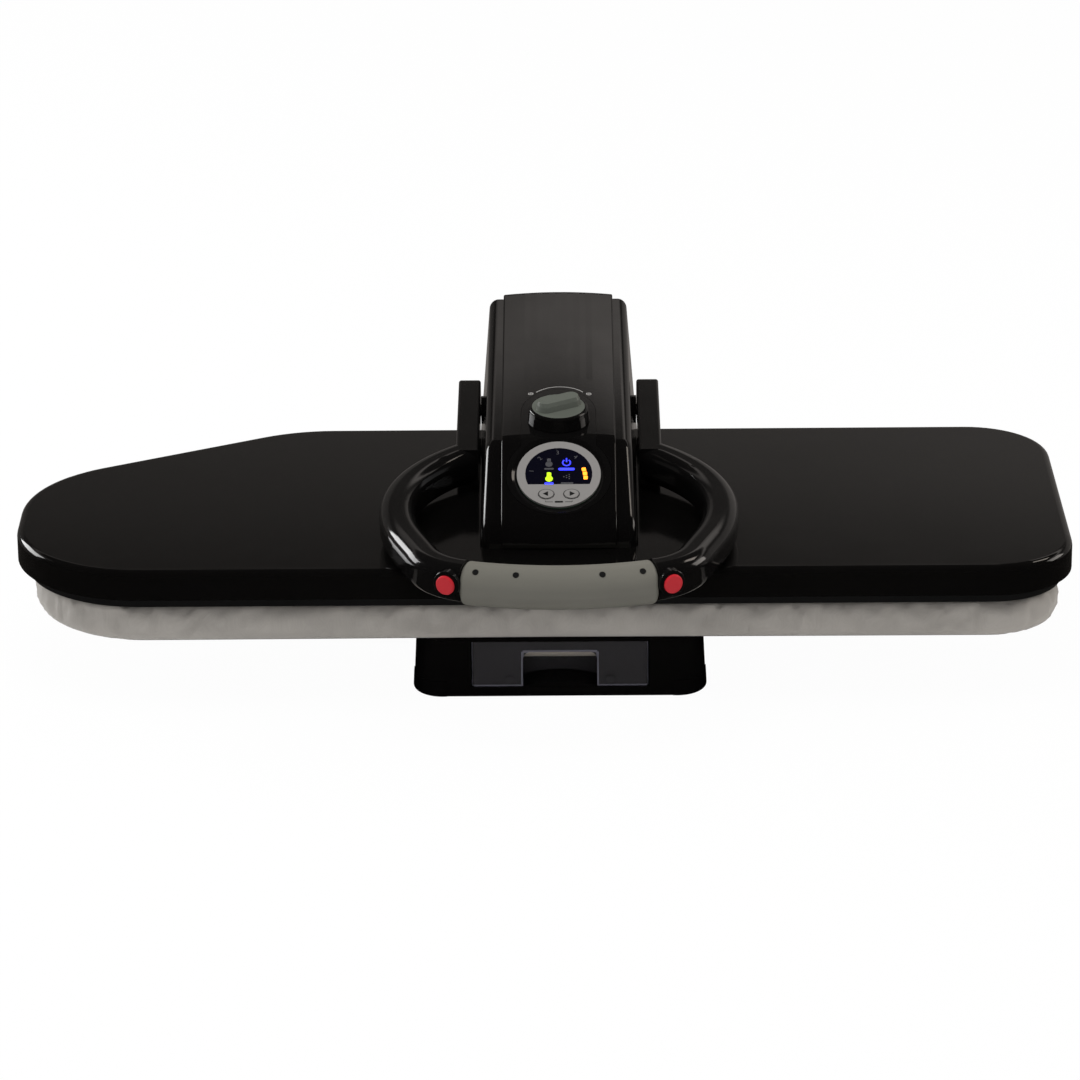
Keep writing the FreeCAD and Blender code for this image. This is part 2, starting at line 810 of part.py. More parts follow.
def make_display():
    """Face ring, dark D-shaped window, circuit board and the two set buttons."""
    top = -face_sink
    low = top - face_thickness
    face = Part.makeCylinder(display_radius, face_thickness, vec(0, 0, low))
    blank = Part.makeCylinder(window_radius, face_thickness, vec(0, 0, low))
    below = Part.makeBox(120, 60, 20, vec(-60, -window_chord - 60, low - 5))
    window = blank.cut(below)
    face = face.cut(window)
    for side in (-1, 1):
        face = face.cut(set_button(side, set_button_gap, low - 3, 9.0))
    keep("display_face", at_display(face))
    keep("display_window", at_display(window))
    board_top = low - 2.6
    board = Part.makeCylinder(display_radius - 2, 1.6, vec(0, 0, board_top - 1.6))
    ring = Part.makeCylinder(display_radius, low - board_top, vec(0, 0, board_top))
    ring = ring.cut(Part.makeCylinder(display_radius - 2.5, low - board_top, vec(0, 0, board_top)))
    keep("display_board", at_display(join([board, ring])))
    for name, side in (("set_button_left", -1), ("set_button_right", 1)):
        foot = board_top + set_button_travel + set_button_gap
        keep(name, at_display(set_button(side, 0.0, foot, top + set_button_proud - foot)))


def set_button(side, gap, low, height):
    """Oval set button of the display, grown by gap for its hole."""
    centre = vec(side * set_button_spacing / 2, -set_button_drop, low)
    return oval(set_button_width / 2 + gap, set_button_depth / 2 + gap, centre, height)


def make_knob():
    """Skirted knob with a raised bar, on a shaft into the steam valve."""
    base = knob_gap
    radius = knob_diameter / 2
    skirt = Part.makeCone(radius, radius - 1.5, knob_height, vec(0, 0, base))
    skirt = skirt.makeFillet(2.5, edges_at(skirt, base + knob_height))
    hollow = Part.makeCylinder(radius - 5, knob_height - 5, vec(0, 0, base))
    pocket = Part.makeCylinder(knob_insert_diameter / 2, 3.0, vec(0, 0, base + knob_height - 2.0))
    hub = Part.makeCylinder(7.0, knob_height - 2.0, vec(0, 0, base))
    skirt = join([skirt.cut(hollow).cut(pocket), hub])
    skirt = skirt.cut(Part.makeCylinder(knob_shaft_diameter / 2, 8.0, vec(0, 0, base)))
    keep("knob_skirt", at_knob(skirt))
    disc = Part.makeCylinder(knob_insert_diameter / 2, 2.0, vec(0, 0, base + knob_height - 2.0))
    bar = knob_bar()
    bar.translate(vec(0, 0, base + knob_height))
    bar.rotate(vec(0, 0, 0), vec(0, 0, 1), knob_bar_turn)
    keep("knob_insert", at_knob(join([disc, bar])))
    shaft = Part.makeCylinder(knob_shaft_diameter / 2, 28.0, vec(0, 0, base + 8.0 - 28.0))
    keep("knob_shaft", at_knob(shaft))
    block = Part.makeBox(valve_width, valve_depth, 20, vec(-valve_width / 2, -valve_depth / 2, -29.0))
    collar_top = -panel_thickness - pad_gap
    collar = Part.makeCylinder(11.0, collar_top + 9.0, vec(0, 0, -9.0))
    bore = Part.makeCylinder(knob_shaft_diameter / 2 + running_fit, 30, vec(0, 0, -22.0))
    keep("knob_valve", at_knob(join([block, collar]).cut(bore)))


def knob_bar():
    """The finger bar: an oval ridge that narrows towards its top."""
    half = knob_bar_length / 2
    levels = []
    for share, shrink in ((0.0, 0.0), (0.6, 1.0), (1.0, 2.6)):
        w = knob_bar_width / 2 - shrink
        a = half - shrink
        z = knob_bar_height * share
        pts = [(-a, -w), (a, -w), (a, w), (-a, w)]
        levels.append(rounded_wire(pts, [w - 0.4] * 4, lambda u, v, z=z: vec(u, v, z)))
    return Part.makeLoft(levels, True, True)


def loop_plane(shape):
    """Tip a shape drawn level at the loop's middle into the loop's plane."""
    shape.rotate(vec(arm_x, loop_middle_y, 0), vec(1, 0, 0), loop_tilt)
    middle_z = loop_z + (loop_middle_y + plate_depth / 2) * tan(radians(loop_tilt))
    shape.translate(vec(0, 0, middle_z))
    return shape


def loop_points():
    """Centres, radii and angles of the loop's arcs on its right side, seen from above."""
    start = radians(loop_front_half_angle)
    side_x = loop_half_width - loop_side_radius
    front_centre_y = loop_front_y + loop_front_radius
    reach = loop_front_radius - loop_corner_radius
    corner_x = reach * sin(start)
    corner_y = front_centre_y - reach * cos(start)
    dx = corner_x - side_x
    dy = corner_y - loop_middle_y
    across = hypot(dx, dy)
    finish = atan2(dx, -dy) + acos((loop_side_radius - loop_corner_radius) / across)
    arm_middle = arm_inner + arm_width / 2
    last = pi - asin((arm_middle - loop_half_width + loop_rear_radius) / loop_rear_radius)
    return start, finish, last, side_x, front_centre_y, corner_x, corner_y


def loop_spot(centre_x, centre_y, radius, angle):
    return vec(arm_x + centre_x + radius * sin(angle), centre_y - radius * cos(angle), 0)


def tube_face(spot, angle, width, height, radius):
    """Section of the tube across its path at a spot, path direction angle from +X."""
    across = vec(sin(angle), -cos(angle), 0)

    def place(u, v):
        return spot + across * u + vec(0, 0, v)

    w = width / 2
    h = height / 2
    return Part.Face(rounded_wire([(-w, -h), (w, -h), (w, h), (-w, h)], [radius] * 4, place))


def front_run(width, height, radius, half_angle):
    """The grip's arc of the loop, as one turned bar, set a little below the tube."""
    start, finish, last, side_x, front_y, corner_x, corner_y = loop_points()
    spot = loop_spot(0, front_y, loop_front_radius, -half_angle) - vec(0, 0, grip_drop)
    face = tube_face(spot, -half_angle, width, height, radius)
    return face.revolve(vec(arm_x, front_y, 0), vec(0, 0, 1), degrees(2 * half_angle))


def side_run(width, height, radius):
    """Corner, straight and the two side arcs of the loop on the right."""
    start, finish, last, side_x, front_y, corner_x, corner_y = loop_points()
    spot = loop_spot(corner_x, corner_y, loop_corner_radius, start)
    face = tube_face(spot, start, width, height, radius)
    centre = vec(arm_x + corner_x, corner_y, 0)
    corner = face.revolve(centre, vec(0, 0, 1), degrees(finish - start))
    one = loop_spot(corner_x, corner_y, loop_corner_radius, finish)
    two = loop_spot(side_x, loop_middle_y, loop_side_radius, finish)
    face = tube_face(one, finish, width, height, radius)
    straight = face.extrude(two - one)
    face = tube_face(two, finish, width, height, radius)
    side = face.revolve(vec(arm_x + side_x, loop_middle_y, 0), vec(0, 0, 1), degrees(pi / 2 - finish))
    rear_x = loop_half_width - loop_rear_radius
    widest = loop_spot(rear_x, loop_middle_y, loop_rear_radius, pi / 2)
    face = tube_face(widest, pi / 2, width, height, radius)
    rear = face.revolve(vec(arm_x + rear_x, loop_middle_y, 0), vec(0, 0, 1), degrees(last - pi / 2))
    return join([corner, straight, side, rear])


def handle_arm():
    """One straight arm of the handle, back from the loop to the pivot."""
    start, finish, last, side_x, front_y, corner_x, corner_y = loop_points()
    spot = loop_spot(loop_half_width - loop_rear_radius, loop_middle_y, loop_rear_radius, last)
    half = tube_height / 2
    front = spot.y - 14.0
    corners = [(front, -half), (arm_end_y, -half), (arm_end_y, half), (front, half)]
    arm = prism(corners, [0, 16, 12, 0], on_side, vec(arm_x + arm_inner, 0, 0), vec(arm_width, 0, 0))
    long_edges = [e for e in arm.Edges if e.BoundBox.XLength < 0.01 and e.BoundBox.Center.z > half - 9
                  and (e.BoundBox.YLength > 2)]
    return arm.makeFillet(2.5, long_edges)


def red_button_frame():
    """Place and outward direction of the right-hand red button."""
    start, finish, last, side_x, front_y, corner_x, corner_y = loop_points()
    angle = radians(red_button_angle)
    spot = loop_spot(corner_x, corner_y, loop_corner_radius, angle) + vec(0, 0, red_button_rise)
    return spot, vec(sin(angle), -cos(angle), 0)


def make_handle():
    """Loop and arms in two shells, the grip's two sleeves, bosses and plugs."""
    half_angle = radians(loop_front_half_angle)
    side = side_run(tube_width, tube_height, tube_radius)
    arm = handle_arm()
    core = front_run(tube_width - grip_core, tube_height - grip_core, tube_radius - grip_core / 2, half_angle)
    whole = join([core, side, arm, mirrored(side), mirrored(arm)])
    spot, out = red_button_frame()
    socket = rod(boss_diameter + 0.2, 30.0, spot + out * 6.0, out)
    whole = whole.cut(socket).cut(mirrored(socket))
    grip = front_run(grip_width, grip_height, grip_radius, half_angle - 0.0008)
    ends = [e for e in grip.Edges if abs(turn_of(e) - half_angle) < 0.004]
    grip = grip.makeFillet(4.5, ends)
    sleeve = grip.cut(front_run(tube_width - grip_core + 0.2, tube_height - grip_core + 0.2,
                                tube_radius - grip_core / 2, half_angle + 0.02))
    socket_room = rod(boss_diameter + 0.8, 30.0, spot + out * 6.0, out)
    sleeve = sleeve.cut(socket_room).cut(mirrored(socket_room))
    wide = 3 * loop_half_width
    upper = box(-wide, wide, -2 * wide, wide, tube_split, tube_height)
    lower = box(-wide, wide, -2 * wide, wide, -tube_height, tube_split)
    pivot = pivot_cutter()
    keep("handle_upper_shell", loop_plane(whole.common(upper)).cut(pivot))
    keep("handle_lower_shell", loop_plane(whole.common(lower)).cut(pivot))
    plugs = [grip_plug(x) for x in (-plug_spread, -plug_spread_inner, plug_spread_inner, plug_spread)]
    plugs_all = Part.makeCompound(plugs)
    keep("grip_upper", loop_plane(sleeve.common(upper).cut(plugs_all)))
    keep("grip_lower", loop_plane(sleeve.common(lower)))
    keep("grip_plugs", loop_plane(plugs_all))
    boss = rod(boss_diameter, boss_reach - 7.0, spot + out * 7.0, out)
    boss = boss.makeFillet(1.5, [e for e in boss.Edges if (e.BoundBox.Center - spot).Length > boss_reach - 1
                                 and len(e.Vertexes) == 1])
    bore = rod(red_button_diameter + 0.2, 30.0, spot + out * 9.0, out)
    keep("button_bosses", loop_plane(both_sides(boss.cut(bore))))
    button = rod(red_button_diameter, boss_reach + 2.6 - 13.0, spot + out * 13.0, out)
    button = button.makeFillet(1.6, [e for e in button.Edges if (e.BoundBox.Center - spot).Length > boss_reach
                                     and len(e.Vertexes) == 1])
    keep("steam_button_right", loop_plane(button.copy()))
    keep("steam_button_left", loop_plane(mirrored(button)))


def turn_of(edge):
    """Angle of an edge's middle about the grip's arc centre, from straight ahead."""
    start, finish, last, side_x, front_y, corner_x, corner_y = loop_points()
    centre = edge.BoundBox.Center
    return abs(atan2(centre.x - arm_x, front_y - centre.y))


def grip_plug(x):
    """Small plug over a grip screw, on the sloping upper front of the grip."""
    start, finish, last, side_x, front_y, corner_x, corner_y = loop_points()
    angle = asin(x / loop_front_radius)
    forward = vec(sin(angle), -cos(angle), 0)
    spot = loop_spot(0, front_y, loop_front_radius, angle) + forward * (grip_width / 2 - grip_radius)
    spot = spot + vec(0, 0, grip_height / 2 - grip_radius - grip_drop)
    lean = radians(plug_lean)
    out = forward * cos(lean) + vec(0, 0, sin(lean))
    return rod(plug_diameter, plug_length, spot + out * (grip_radius + plug_proud - plug_length), out)


def pivot_cutter():
    reach = arm_inner + arm_width - shaft_setback + 1.0
    return cross_rod(handle_shaft_diameter + 2 * running_fit, arm_x - reach, arm_x + reach, pivot_y, pivot_z)


def make_handle_shaft():
    """Cross shaft with its two cranks and their link pins."""
    reach = arm_inner + arm_width - shaft_setback
    keep("handle_shaft", cross_rod(handle_shaft_diameter, arm_x - reach, arm_x + reach, pivot_y, pivot_z))
    x0 = arm_x + crank_inner
    hub = cross_rod(24.0, x0, x0 + crank_thickness, pivot_y, pivot_z)
    tip = cross_rod(14.0, x0, x0 + crank_thickness, pivot_y + crank_y, pivot_z + crank_z)
    bar = tangent_bar(pivot_y, pivot_z, 12.0, pivot_y + crank_y, pivot_z + crank_z, 7.0, x0, crank_thickness)
    pin = cross_rod(link_pin_diameter, x0, arm_x + link_inner + link_thickness + 1.0,
                    pivot_y + crank_y, pivot_z + crank_z)
    crank = join([hub, tip, bar, pin])
    crank = crank.cut(cross_rod(handle_shaft_diameter, x0 - 1, x0 + 9, pivot_y, pivot_z))
    keep("handle_cranks", both_sides(crank))


def tangent_bar(y1, z1, r1, y2, z2, r2, x0, thickness):
    """Flat plate whose sides run tangent to two round ends."""
    length = hypot(y2 - y1, z2 - z1)
    heading = atan2(z2 - z1, y2 - y1)
    lean = asin((r1 - r2) / length)
    points = []
    for side in (1, -1):
        normal = heading + side * (pi / 2 - lean)
        ends = [(y1 + r1 * cos(normal), z1 + r1 * sin(normal)),
                (y2 + r2 * cos(normal), z2 + r2 * sin(normal))]
        points += ends if side == 1 else ends[::-1]
    return prism(points, [0] * 4, on_side, vec(x0, 0, 0), vec(thickness, 0, 0))


def make_links():
    """Toggle links from the column's pins to the cranks; the crank end is the open pivot."""
    x0 = arm_x + link_inner
    low = (link_y, link_z)
    high = (pivot_y + crank_y, pivot_z + crank_z)
    ends = [cross_rod(16.0, x0, x0 + link_thickness, *place) for place in (low, high)]
    link = join(ends + [tangent_bar(*low, 7.0, *high, 7.0, x0, link_thickness)])
    link = link.cut(cross_rod(link_pin_diameter + 2 * running_fit, x0 - 1, x0 + 9, *low))
    link = link.cut(cross_rod(link_pin_diameter + 2 * open_pivot_clearance, x0 - 1, x0 + 9, *high))
    keep("toggle_links", both_sides(link))
    reach = link_inner + link_thickness + 1.0
    stub = cross_rod(link_pin_diameter, arm_x + cheek_inner, arm_x + reach, link_y, link_z)
    keep("link_pins", both_sides(stub))


def base_slab(inset, z0, z1):
    """A slice of the base between two heights, its sides drawn in as they rise."""
    wires = []
    for z in (z0, z1):
        rise = z / base_height
        half = base_width / 2 - inset - base_draft * rise
        front = base_front + inset + base_front_draft * rise
        rear = base_rear - inset - base_draft * rise
        left = arm_x - half
        right = arm_x + half
        corners = [(left, front), (right, front), (right, rear), (left, rear)]
        wires.append(rounded_wire(corners, [base_corner - inset] * 4, lambda u, v, z=z: vec(u, v, z)))
    return Part.makeLoft(wires, True, True)


def base_rim():
    """Lower ring of the base that backs its rounded foot."""
    reach = base_foot_radius + 1.0
    ring = box(arm_x - base_width, arm_x + base_width, base_front - 9, base_rear + 9, 0, reach)
    hole = base_slab(reach, base_clearance - 3, reach + 1)
    return ring.cut(hole)


def front_blocks():
    """Foot blocks that stand a little proud at the base's front corners."""
    half = base_width / 2
    grown = base_slab(-block_proud, base_clearance, block_height)
    grown = grown.makeFillet(base_foot_radius, edges_at(grown, base_clearance))
    corner = box(arm_x + half - block_width, arm_x + half + block_width, base_front - block_width,
                 base_front + block_reach, 0, block_height)
    block = grown.common(corner).cut(base_slab(base_wall, 0, base_height))
    return block, mirrored(block)


def rail_bar(extra, y0, y1):
    """Arched guide rail of the tank, a flat segment of a circle in section."""
    radius = (rail_width ** 2 / 4 + rail_height ** 2) / (2 * rail_height)
    centre_z = tank_bottom + rail_height - radius
    round_bar = rod(2 * (radius + extra), y1 - y0, vec(arm_x, y0, centre_z), vec(0, 1, 0))
    return round_bar.common(box(arm_x - 100, arm_x + 100, y0, y1, tank_bottom - 1.0, tank_bottom + 40))


def make_base():
    """Moulded base with its tank bay and guide rail, closed by a steel floor."""
    outer = base_slab(0, base_clearance, base_height)
    outer = outer.makeFillet(base_foot_radius, edges_at(outer, base_clearance))
    outer = outer.makeFillet(base_wall, edges_at(outer, base_height))
    room = base_slab(base_wall, base_clearance - 1, base_height - base_wall)
    room = room.cut(base_rim())
    shell = outer.cut(room)
    half = tank_width / 2 + tank_fit
    back = base_front + 2.0 + tank_length + tank_fit
    bay_block = box(arm_x - half - base_wall, arm_x + half + base_wall, base_front + 3.0, back + base_wall,
                    tank_bottom - base_wall, base_height - 0.5)
    bay_block = bay_block.common(outer)
    bay = box(arm_x - half, arm_x + half, base_front - 5, back, tank_bottom, tank_top + tank_fit)
    shell = join([shell, bay_block, *front_blocks()]).cut(bay)
    rail = rail_bar(0.0, base_front + 1.0, back)
    shell = join([shell, rail])
    edge = shroud_inner + shroud_wall + 0.4
    column = box(arm_x - edge, arm_x + edge, hinge_y + shroud_front - 0.4, hinge_y + shroud_rear + 0.4,
                 base_height - 12.0, base_height + 8.0)
    shell = shell.cut(column)
    dock_hole = rod(dock_diameter, 30.0, vec(arm_x + 50, back - 5, 34.0), vec(0, 1, 0))
    inlet_x = arm_x + base_width / 2 - inlet_setback
    inlet_hole = rod(inlet_diameter, 30.0, vec(inlet_x, base_rear - 20, inlet_z), vec(0, 1, 0))
    shell = shell.cut(dock_hole).cut(inlet_hole)
    keep("base_shell", shell)
    floor = base_slab(base_foot_radius + 1.4, base_clearance + 1.0, base_clearance + 1.0 + floor_thickness)
    keep("base_floor", floor)
    feet = []
    screws = []
    for sx in (-1, 1):
        for y in (base_front + 30.0, base_rear - 34.0):
            x = arm_x + sx * (base_width / 2 - 36.0)
            feet.append(Part.makeCylinder(foot_diameter / 2, base_clearance + 1.0, vec(x, y, 0)))
            screws.append(Part.makeCylinder(5.0, 2.0, vec(x - sx * 24.0, y, base_clearance - 1.0)))
    keep("rubber_feet", Part.makeCompound(feet))
    keep("base_screws", Part.makeCompound(screws))


def make_tank():
    """Clear water tank with its finger recess and the groove that rides the rail."""
    half = tank_width / 2
    front = base_front + 2.0
    back = front + tank_length
    low = tank_bottom + tank_fit
    top = tank_top
    lid_low = top - tank_wall
    outer = box(arm_x - half, arm_x + half, front, back, low, lid_low)
    upright_edges = [e for e in outer.Edges if e.BoundBox.ZLength > 5]
    outer = outer.makeFillet(5.0, upright_edges)
    room = box(arm_x - half + tank_wall, arm_x + half - tank_wall, front + tank_wall, back - tank_wall,
               low + tank_wall, lid_low)
    notch = recess(0.0, front)
    notch_wall = recess(tank_wall, front)
    body = outer.cut(room.cut(notch_wall).cut(rail_bar(tank_fit + tank_wall, front, back)))
    body = body.cut(notch).cut(rail_bar(tank_fit, front - 1, back + 1))
    spout = rod(14.0, 12.0, vec(arm_x + 50, back - 0.5, 34.0), vec(0, 1, 0))
    body = body.cut(rod(8.0, 20.0, vec(arm_x + 50, back - 10, 34.0), vec(0, 1, 0)))
    keep("tank_body", body)
    keep("tank_valve", spout.cut(rod(6.0, 20.0, vec(arm_x + 50, back - 10, 34.0), vec(0, 1, 0)))
         .cut(box(0, 200, front, back, 0, 80)))
    lid = box(arm_x - half, arm_x + half, front, back, lid_low, top)
    lid = lid.makeFillet(5.0, [e for e in lid.Edges if e.BoundBox.ZLength > 2])
    hole = rod(36.0, 9.0, vec(arm_x - 40, front + 60, lid_low - 2), vec(0, 0, 1))
    keep("tank_lid", lid.cut(hole))
    cap = rod(35.6, tank_wall, vec(arm_x - 40, front + 60, lid_low), vec(0, 0, 1))
    plug = rod(30.0, 6.0, vec(arm_x - 40, front + 60, lid_low - 6), vec(0, 0, 1))
    keep("tank_cap", join([cap, plug]))
    dock = rod(dock_diameter, 16.0, vec(arm_x + 50, back + tank_fit, 34.0), vec(0, 1, 0))
    dock = dock.cut(rod(14.0 + 4 * running_fit, 13.0, vec(arm_x + 50, back, 34.0), vec(0, 1, 0)))
    keep("tank_dock", dock)
    bump = rod(9.0, 2.0, vec(arm_x + half - latch_setback, front - 2.0, low + 6.5), vec(0, 1, 0))
    bump = bump.cut(box(arm_x, arm_x + half, front - 9, front + 9, 0, low + 3))
    keep("tank_latch_bumps", both_sides(bump))


def recess(wall, front):
    """Finger recess at the foot of the tank's front, its roof falling inward, grown by a wall."""
    half = recess_width / 2 + wall
    low = tank_bottom - 2.0
    high = tank_bottom + recess_height + wall
    points = [(arm_x - half, low), (arm_x + half, low), (arm_x + half, high), (arm_x - half, high)]
    arch = prism(points, [0, 0, 8.0 + wall, 8.0 + wall], lambda u, v: vec(u, 0, v),
                 vec(0, front - 1.0, 0), vec(0, recess_depth + 1.0 + wall, 0))
    deep = front + recess_depth + wall
    inner = high - recess_fall
    side = [(front - 1.0, low), (deep, low), (deep, inner), (front + recess_slope + wall, inner),
            (front, high), (front - 1.0, high)]
    return arch.common(prism(side, [0] * 6, on_side, vec(arm_x - half, 0, 0), vec(2 * half, 0, 0)))


def make_inside_base():
    pump = box(arm_x - 60, arm_x - 10, 70, 130, base_clearance + 1.0 + floor_thickness, 44)
    pump = pump.makeFillet(5.0, [e for e in pump.Edges if e.BoundBox.ZLength > 5])
    nozzle = rod(10.0, 16.0, vec(arm_x - 35, 100, 43), vec(0, 0, 1))
    keep("pump", join([pump, nozzle]))
    x = arm_x + base_width / 2 - inlet_setback
    seat = base_rear - base_draft * (inlet_z - inlet_flange / 2) / base_height + 0.2
    flange = rod(inlet_flange, 3.0, vec(x, seat, inlet_z), vec(0, 1, 0))
    neck = rod(inlet_diameter - 0.4, 14.0, vec(x, seat - 13.5, inlet_z), vec(0, 1, 0))
    hole = rod(9.0, 30.0, vec(x, seat - 20.0, inlet_z), vec(0, 1, 0))
    keep("cord_inlet", join([flange, neck]).cut(hole))


make_head_cover()
make_heat_plate_frame()
make_heat_plate()
make_steam_chamber()
make_plate_mounts()
make_heat_shield()
make_pad()
make_board_rails()
make_column_frame()
make_column_shroud()
make_hinge()
make_springs()
make_arm_frame()
make_arm_housing()
make_panel()
make_display()
make_knob()
make_handle()
make_handle_shaft()
make_links()
make_base()
make_tank()
make_inside_base()
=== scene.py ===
# %% [markdown]
# A steam ironing press: a padded board on a small base, a heated plate under a glossy lid,
# and an arm with a loop handle, a knob and a round display. The construction comes ready
# made as a frame of named pieces. This notebook gives every piece its finish, sews the
# padded cover, winds the springs and prints the marks on the controls.

# %% Load the frame
import json
import math
import bpy
import bmesh
from mathutils import Matrix, Vector, noise


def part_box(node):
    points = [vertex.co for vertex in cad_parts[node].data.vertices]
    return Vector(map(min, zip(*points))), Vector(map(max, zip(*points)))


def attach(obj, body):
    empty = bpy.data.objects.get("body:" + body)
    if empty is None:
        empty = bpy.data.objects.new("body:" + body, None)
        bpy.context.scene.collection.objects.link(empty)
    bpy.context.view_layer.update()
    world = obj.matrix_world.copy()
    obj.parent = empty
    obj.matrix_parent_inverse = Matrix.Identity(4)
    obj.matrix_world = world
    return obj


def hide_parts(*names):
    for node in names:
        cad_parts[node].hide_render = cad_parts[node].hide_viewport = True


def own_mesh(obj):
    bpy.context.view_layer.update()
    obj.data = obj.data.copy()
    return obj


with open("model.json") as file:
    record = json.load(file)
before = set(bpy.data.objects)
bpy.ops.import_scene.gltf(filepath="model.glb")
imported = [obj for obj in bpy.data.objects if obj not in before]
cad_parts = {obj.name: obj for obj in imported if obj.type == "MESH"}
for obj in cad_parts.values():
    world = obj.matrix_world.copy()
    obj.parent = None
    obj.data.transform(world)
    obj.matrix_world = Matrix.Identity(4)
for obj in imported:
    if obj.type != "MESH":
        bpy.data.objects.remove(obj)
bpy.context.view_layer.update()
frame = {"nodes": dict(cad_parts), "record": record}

nodes = frame["nodes"]
scene = bpy.context.scene
MM = 0.001

# %% [markdown]
# The picture was taken with a long lens from a little above, almost straight in front.
# The camera stands five metres away and leans by half a degree, so that the right end of
# the board sits slightly higher in the picture, as it does in the photograph.

# %% Camera
camera_place = Vector((0.02247, -4.89864, 2.03581))
camera_target = Vector((-0.00252, -0.06054, 0.13))
camera_lean = math.radians(0.477)

camera_data = bpy.data.cameras.new("camera")
camera_data.lens = 180.0
camera_data.sensor_width = 36.0
camera = bpy.data.objects.new("camera", camera_data)
scene.collection.objects.link(camera)
aim = (camera_target - camera_place).to_track_quat("-Z", "Y").to_matrix().to_4x4()
camera.matrix_world = Matrix.Translation(camera_place) @ aim @ Matrix.Rotation(-camera_lean, 4, "Z")
scene.camera = camera
print("camera distance in m:", round((camera_target - camera_place).length, 3))

# %% [markdown]
# Shader maths reads best as plain arithmetic. Wire wraps one socket and overloads the
# operators, and Finish holds one material while its nodes are being wired up.


# %% Shader helpers
class Wire:
    """A socket that arithmetic can be written on."""

    def __init__(self, tree, socket):
        self.tree = tree
        self.socket = socket

    def math(self, operation, other=None, swapped=False):
        node = self.tree.nodes.new("ShaderNodeMath")
        node.operation = operation
        values = [self, other] if not swapped else [other, self]
        for slot, value in zip(node.inputs, values):
            plug(self.tree, slot, value)
        return Wire(self.tree, node.outputs[0])

    def __add__(self, other):
        return self.math("ADD", other)

    def __sub__(self, other):
        return self.math("SUBTRACT", other)

    def __mul__(self, other):
        return self.math("MULTIPLY", other)

    def __rsub__(self, other):
        return self.math("SUBTRACT", other, swapped=True)

    def __gt__(self, other):
        return self.math("GREATER_THAN", other)

    def __lt__(self, other):
        return self.math("LESS_THAN", other)

    __radd__ = __add__
    __rmul__ = __mul__


def plug(tree, slot, value):
    """Feed a socket with a wire or a plain value; None leaves it alone."""
    if isinstance(value, Wire):
        tree.links.new(value.socket, slot)
    elif value is not None:
        slot.default_value = value


class Finish:
    """One material while it is being wired up."""

    def __init__(self, name, **fixed):
        self.material = bpy.data.materials.new(name)
        self.material.use_nodes = True
        self.tree = self.material.node_tree
        self.surface = self.tree.nodes["Principled BSDF"]
        for socket, value in fixed.items():
            self.surface.inputs[socket.replace("_", " ")].default_value = value

    def node(self, kind, settings=None, out=0, **inputs):
        """Any other node: its settings first, then its sockets, and one output as a Wire."""
        made = self.tree.nodes.new(kind)
        for key, value in (settings or {}).items():
            setattr(made, key, value)
        for key, value in inputs.items():
            plug(self.tree, made.inputs[key.replace("_", " ")], value)
        return Wire(self.tree, made.outputs[out])

    def place(self):
        return self.node("ShaderNodeTexCoord", out="Object")

    def noise(self, scale, detail=3.0, stretch=None):
        spot = self.place()
        if stretch:
            spot = self.node("ShaderNodeMapping", Vector=spot, Scale=stretch)
        return self.node("ShaderNodeTexNoise", Vector=spot, Scale=scale, Detail=detail)

    def ramp(self, factor, *stops):
        """Colours or greys blended along a factor; each stop is (place, value)."""
        made = self.tree.nodes.new("ShaderNodeValToRGB")
        plug(self.tree, made.inputs[0], factor)
        bar = made.color_ramp
        for index, (spot, value) in enumerate(stops):
            if index > 1:
                bar.elements.new(spot)
            bar.elements[index].position = spot
            grey = (value, value, value) if isinstance(value, (int, float)) else value
            bar.elements[index].color = (*grey, 1.0)
        return Wire(self.tree, made.outputs[0])

    def bump(self, height, strength, distance):
        return self.node("ShaderNodeBump", Height=height, Strength=strength, Distance=distance)

    def wear(self, **wires):
        for socket, wire in wires.items():
            plug(self.tree, self.surface.inputs[socket.replace("_", " ")], wire)
        return self.material


def shade(colour, factor):
    return tuple(min(1.0, c * factor) for c in colour)


# %% [markdown]
# Moulded plastic is never one flat colour: the tone drifts a little over a long piece,
# the polish varies where hands and cloths have rubbed it, and a fine grain breaks up
# the reflections. One function makes all the mouldings, gloss or satin, from these.


# %% Moulded plastics
def moulded(name, colour, roughness, grain=900.0, depth=0.00004, drift=0.18, specular=0.3, **fixed):
    """A moulded plastic with drifting tone, uneven polish and a fine grain."""
    finish = Finish(name, Specular_IOR_Level=specular, **fixed)
    tone = finish.ramp(finish.noise(5.0), (0.3, shade(colour, 1 - drift)), (0.7, shade(colour, 1 + drift)))
    polish = finish.ramp(finish.noise(22.0, 5.0), (0.3, roughness * 0.8), (0.75, roughness * 1.25))
    skin = finish.noise(grain, 2.0)
    return finish.wear(Base_Color=tone, Roughness=polish, Normal=finish.bump(skin, 0.35, depth))


def metal(name, colour, roughness, stretch=(1, 1, 30), grain=60.0, **fixed):
    """A metal with brushed streaks and a drifting tone."""
    finish = Finish(name, Metallic=1.0, **fixed)
    streaks = finish.noise(grain, 4.0, stretch)
    tone = finish.ramp(streaks, (0.3, shade(colour, 0.85)), (0.7, shade(colour, 1.08)))
    polish = finish.ramp(streaks, (0.25, roughness * 0.75), (0.75, roughness * 1.3))
    return finish.wear(Base_Color=tone, Roughness=polish, Normal=finish.bump(streaks, 0.15, 0.00005))


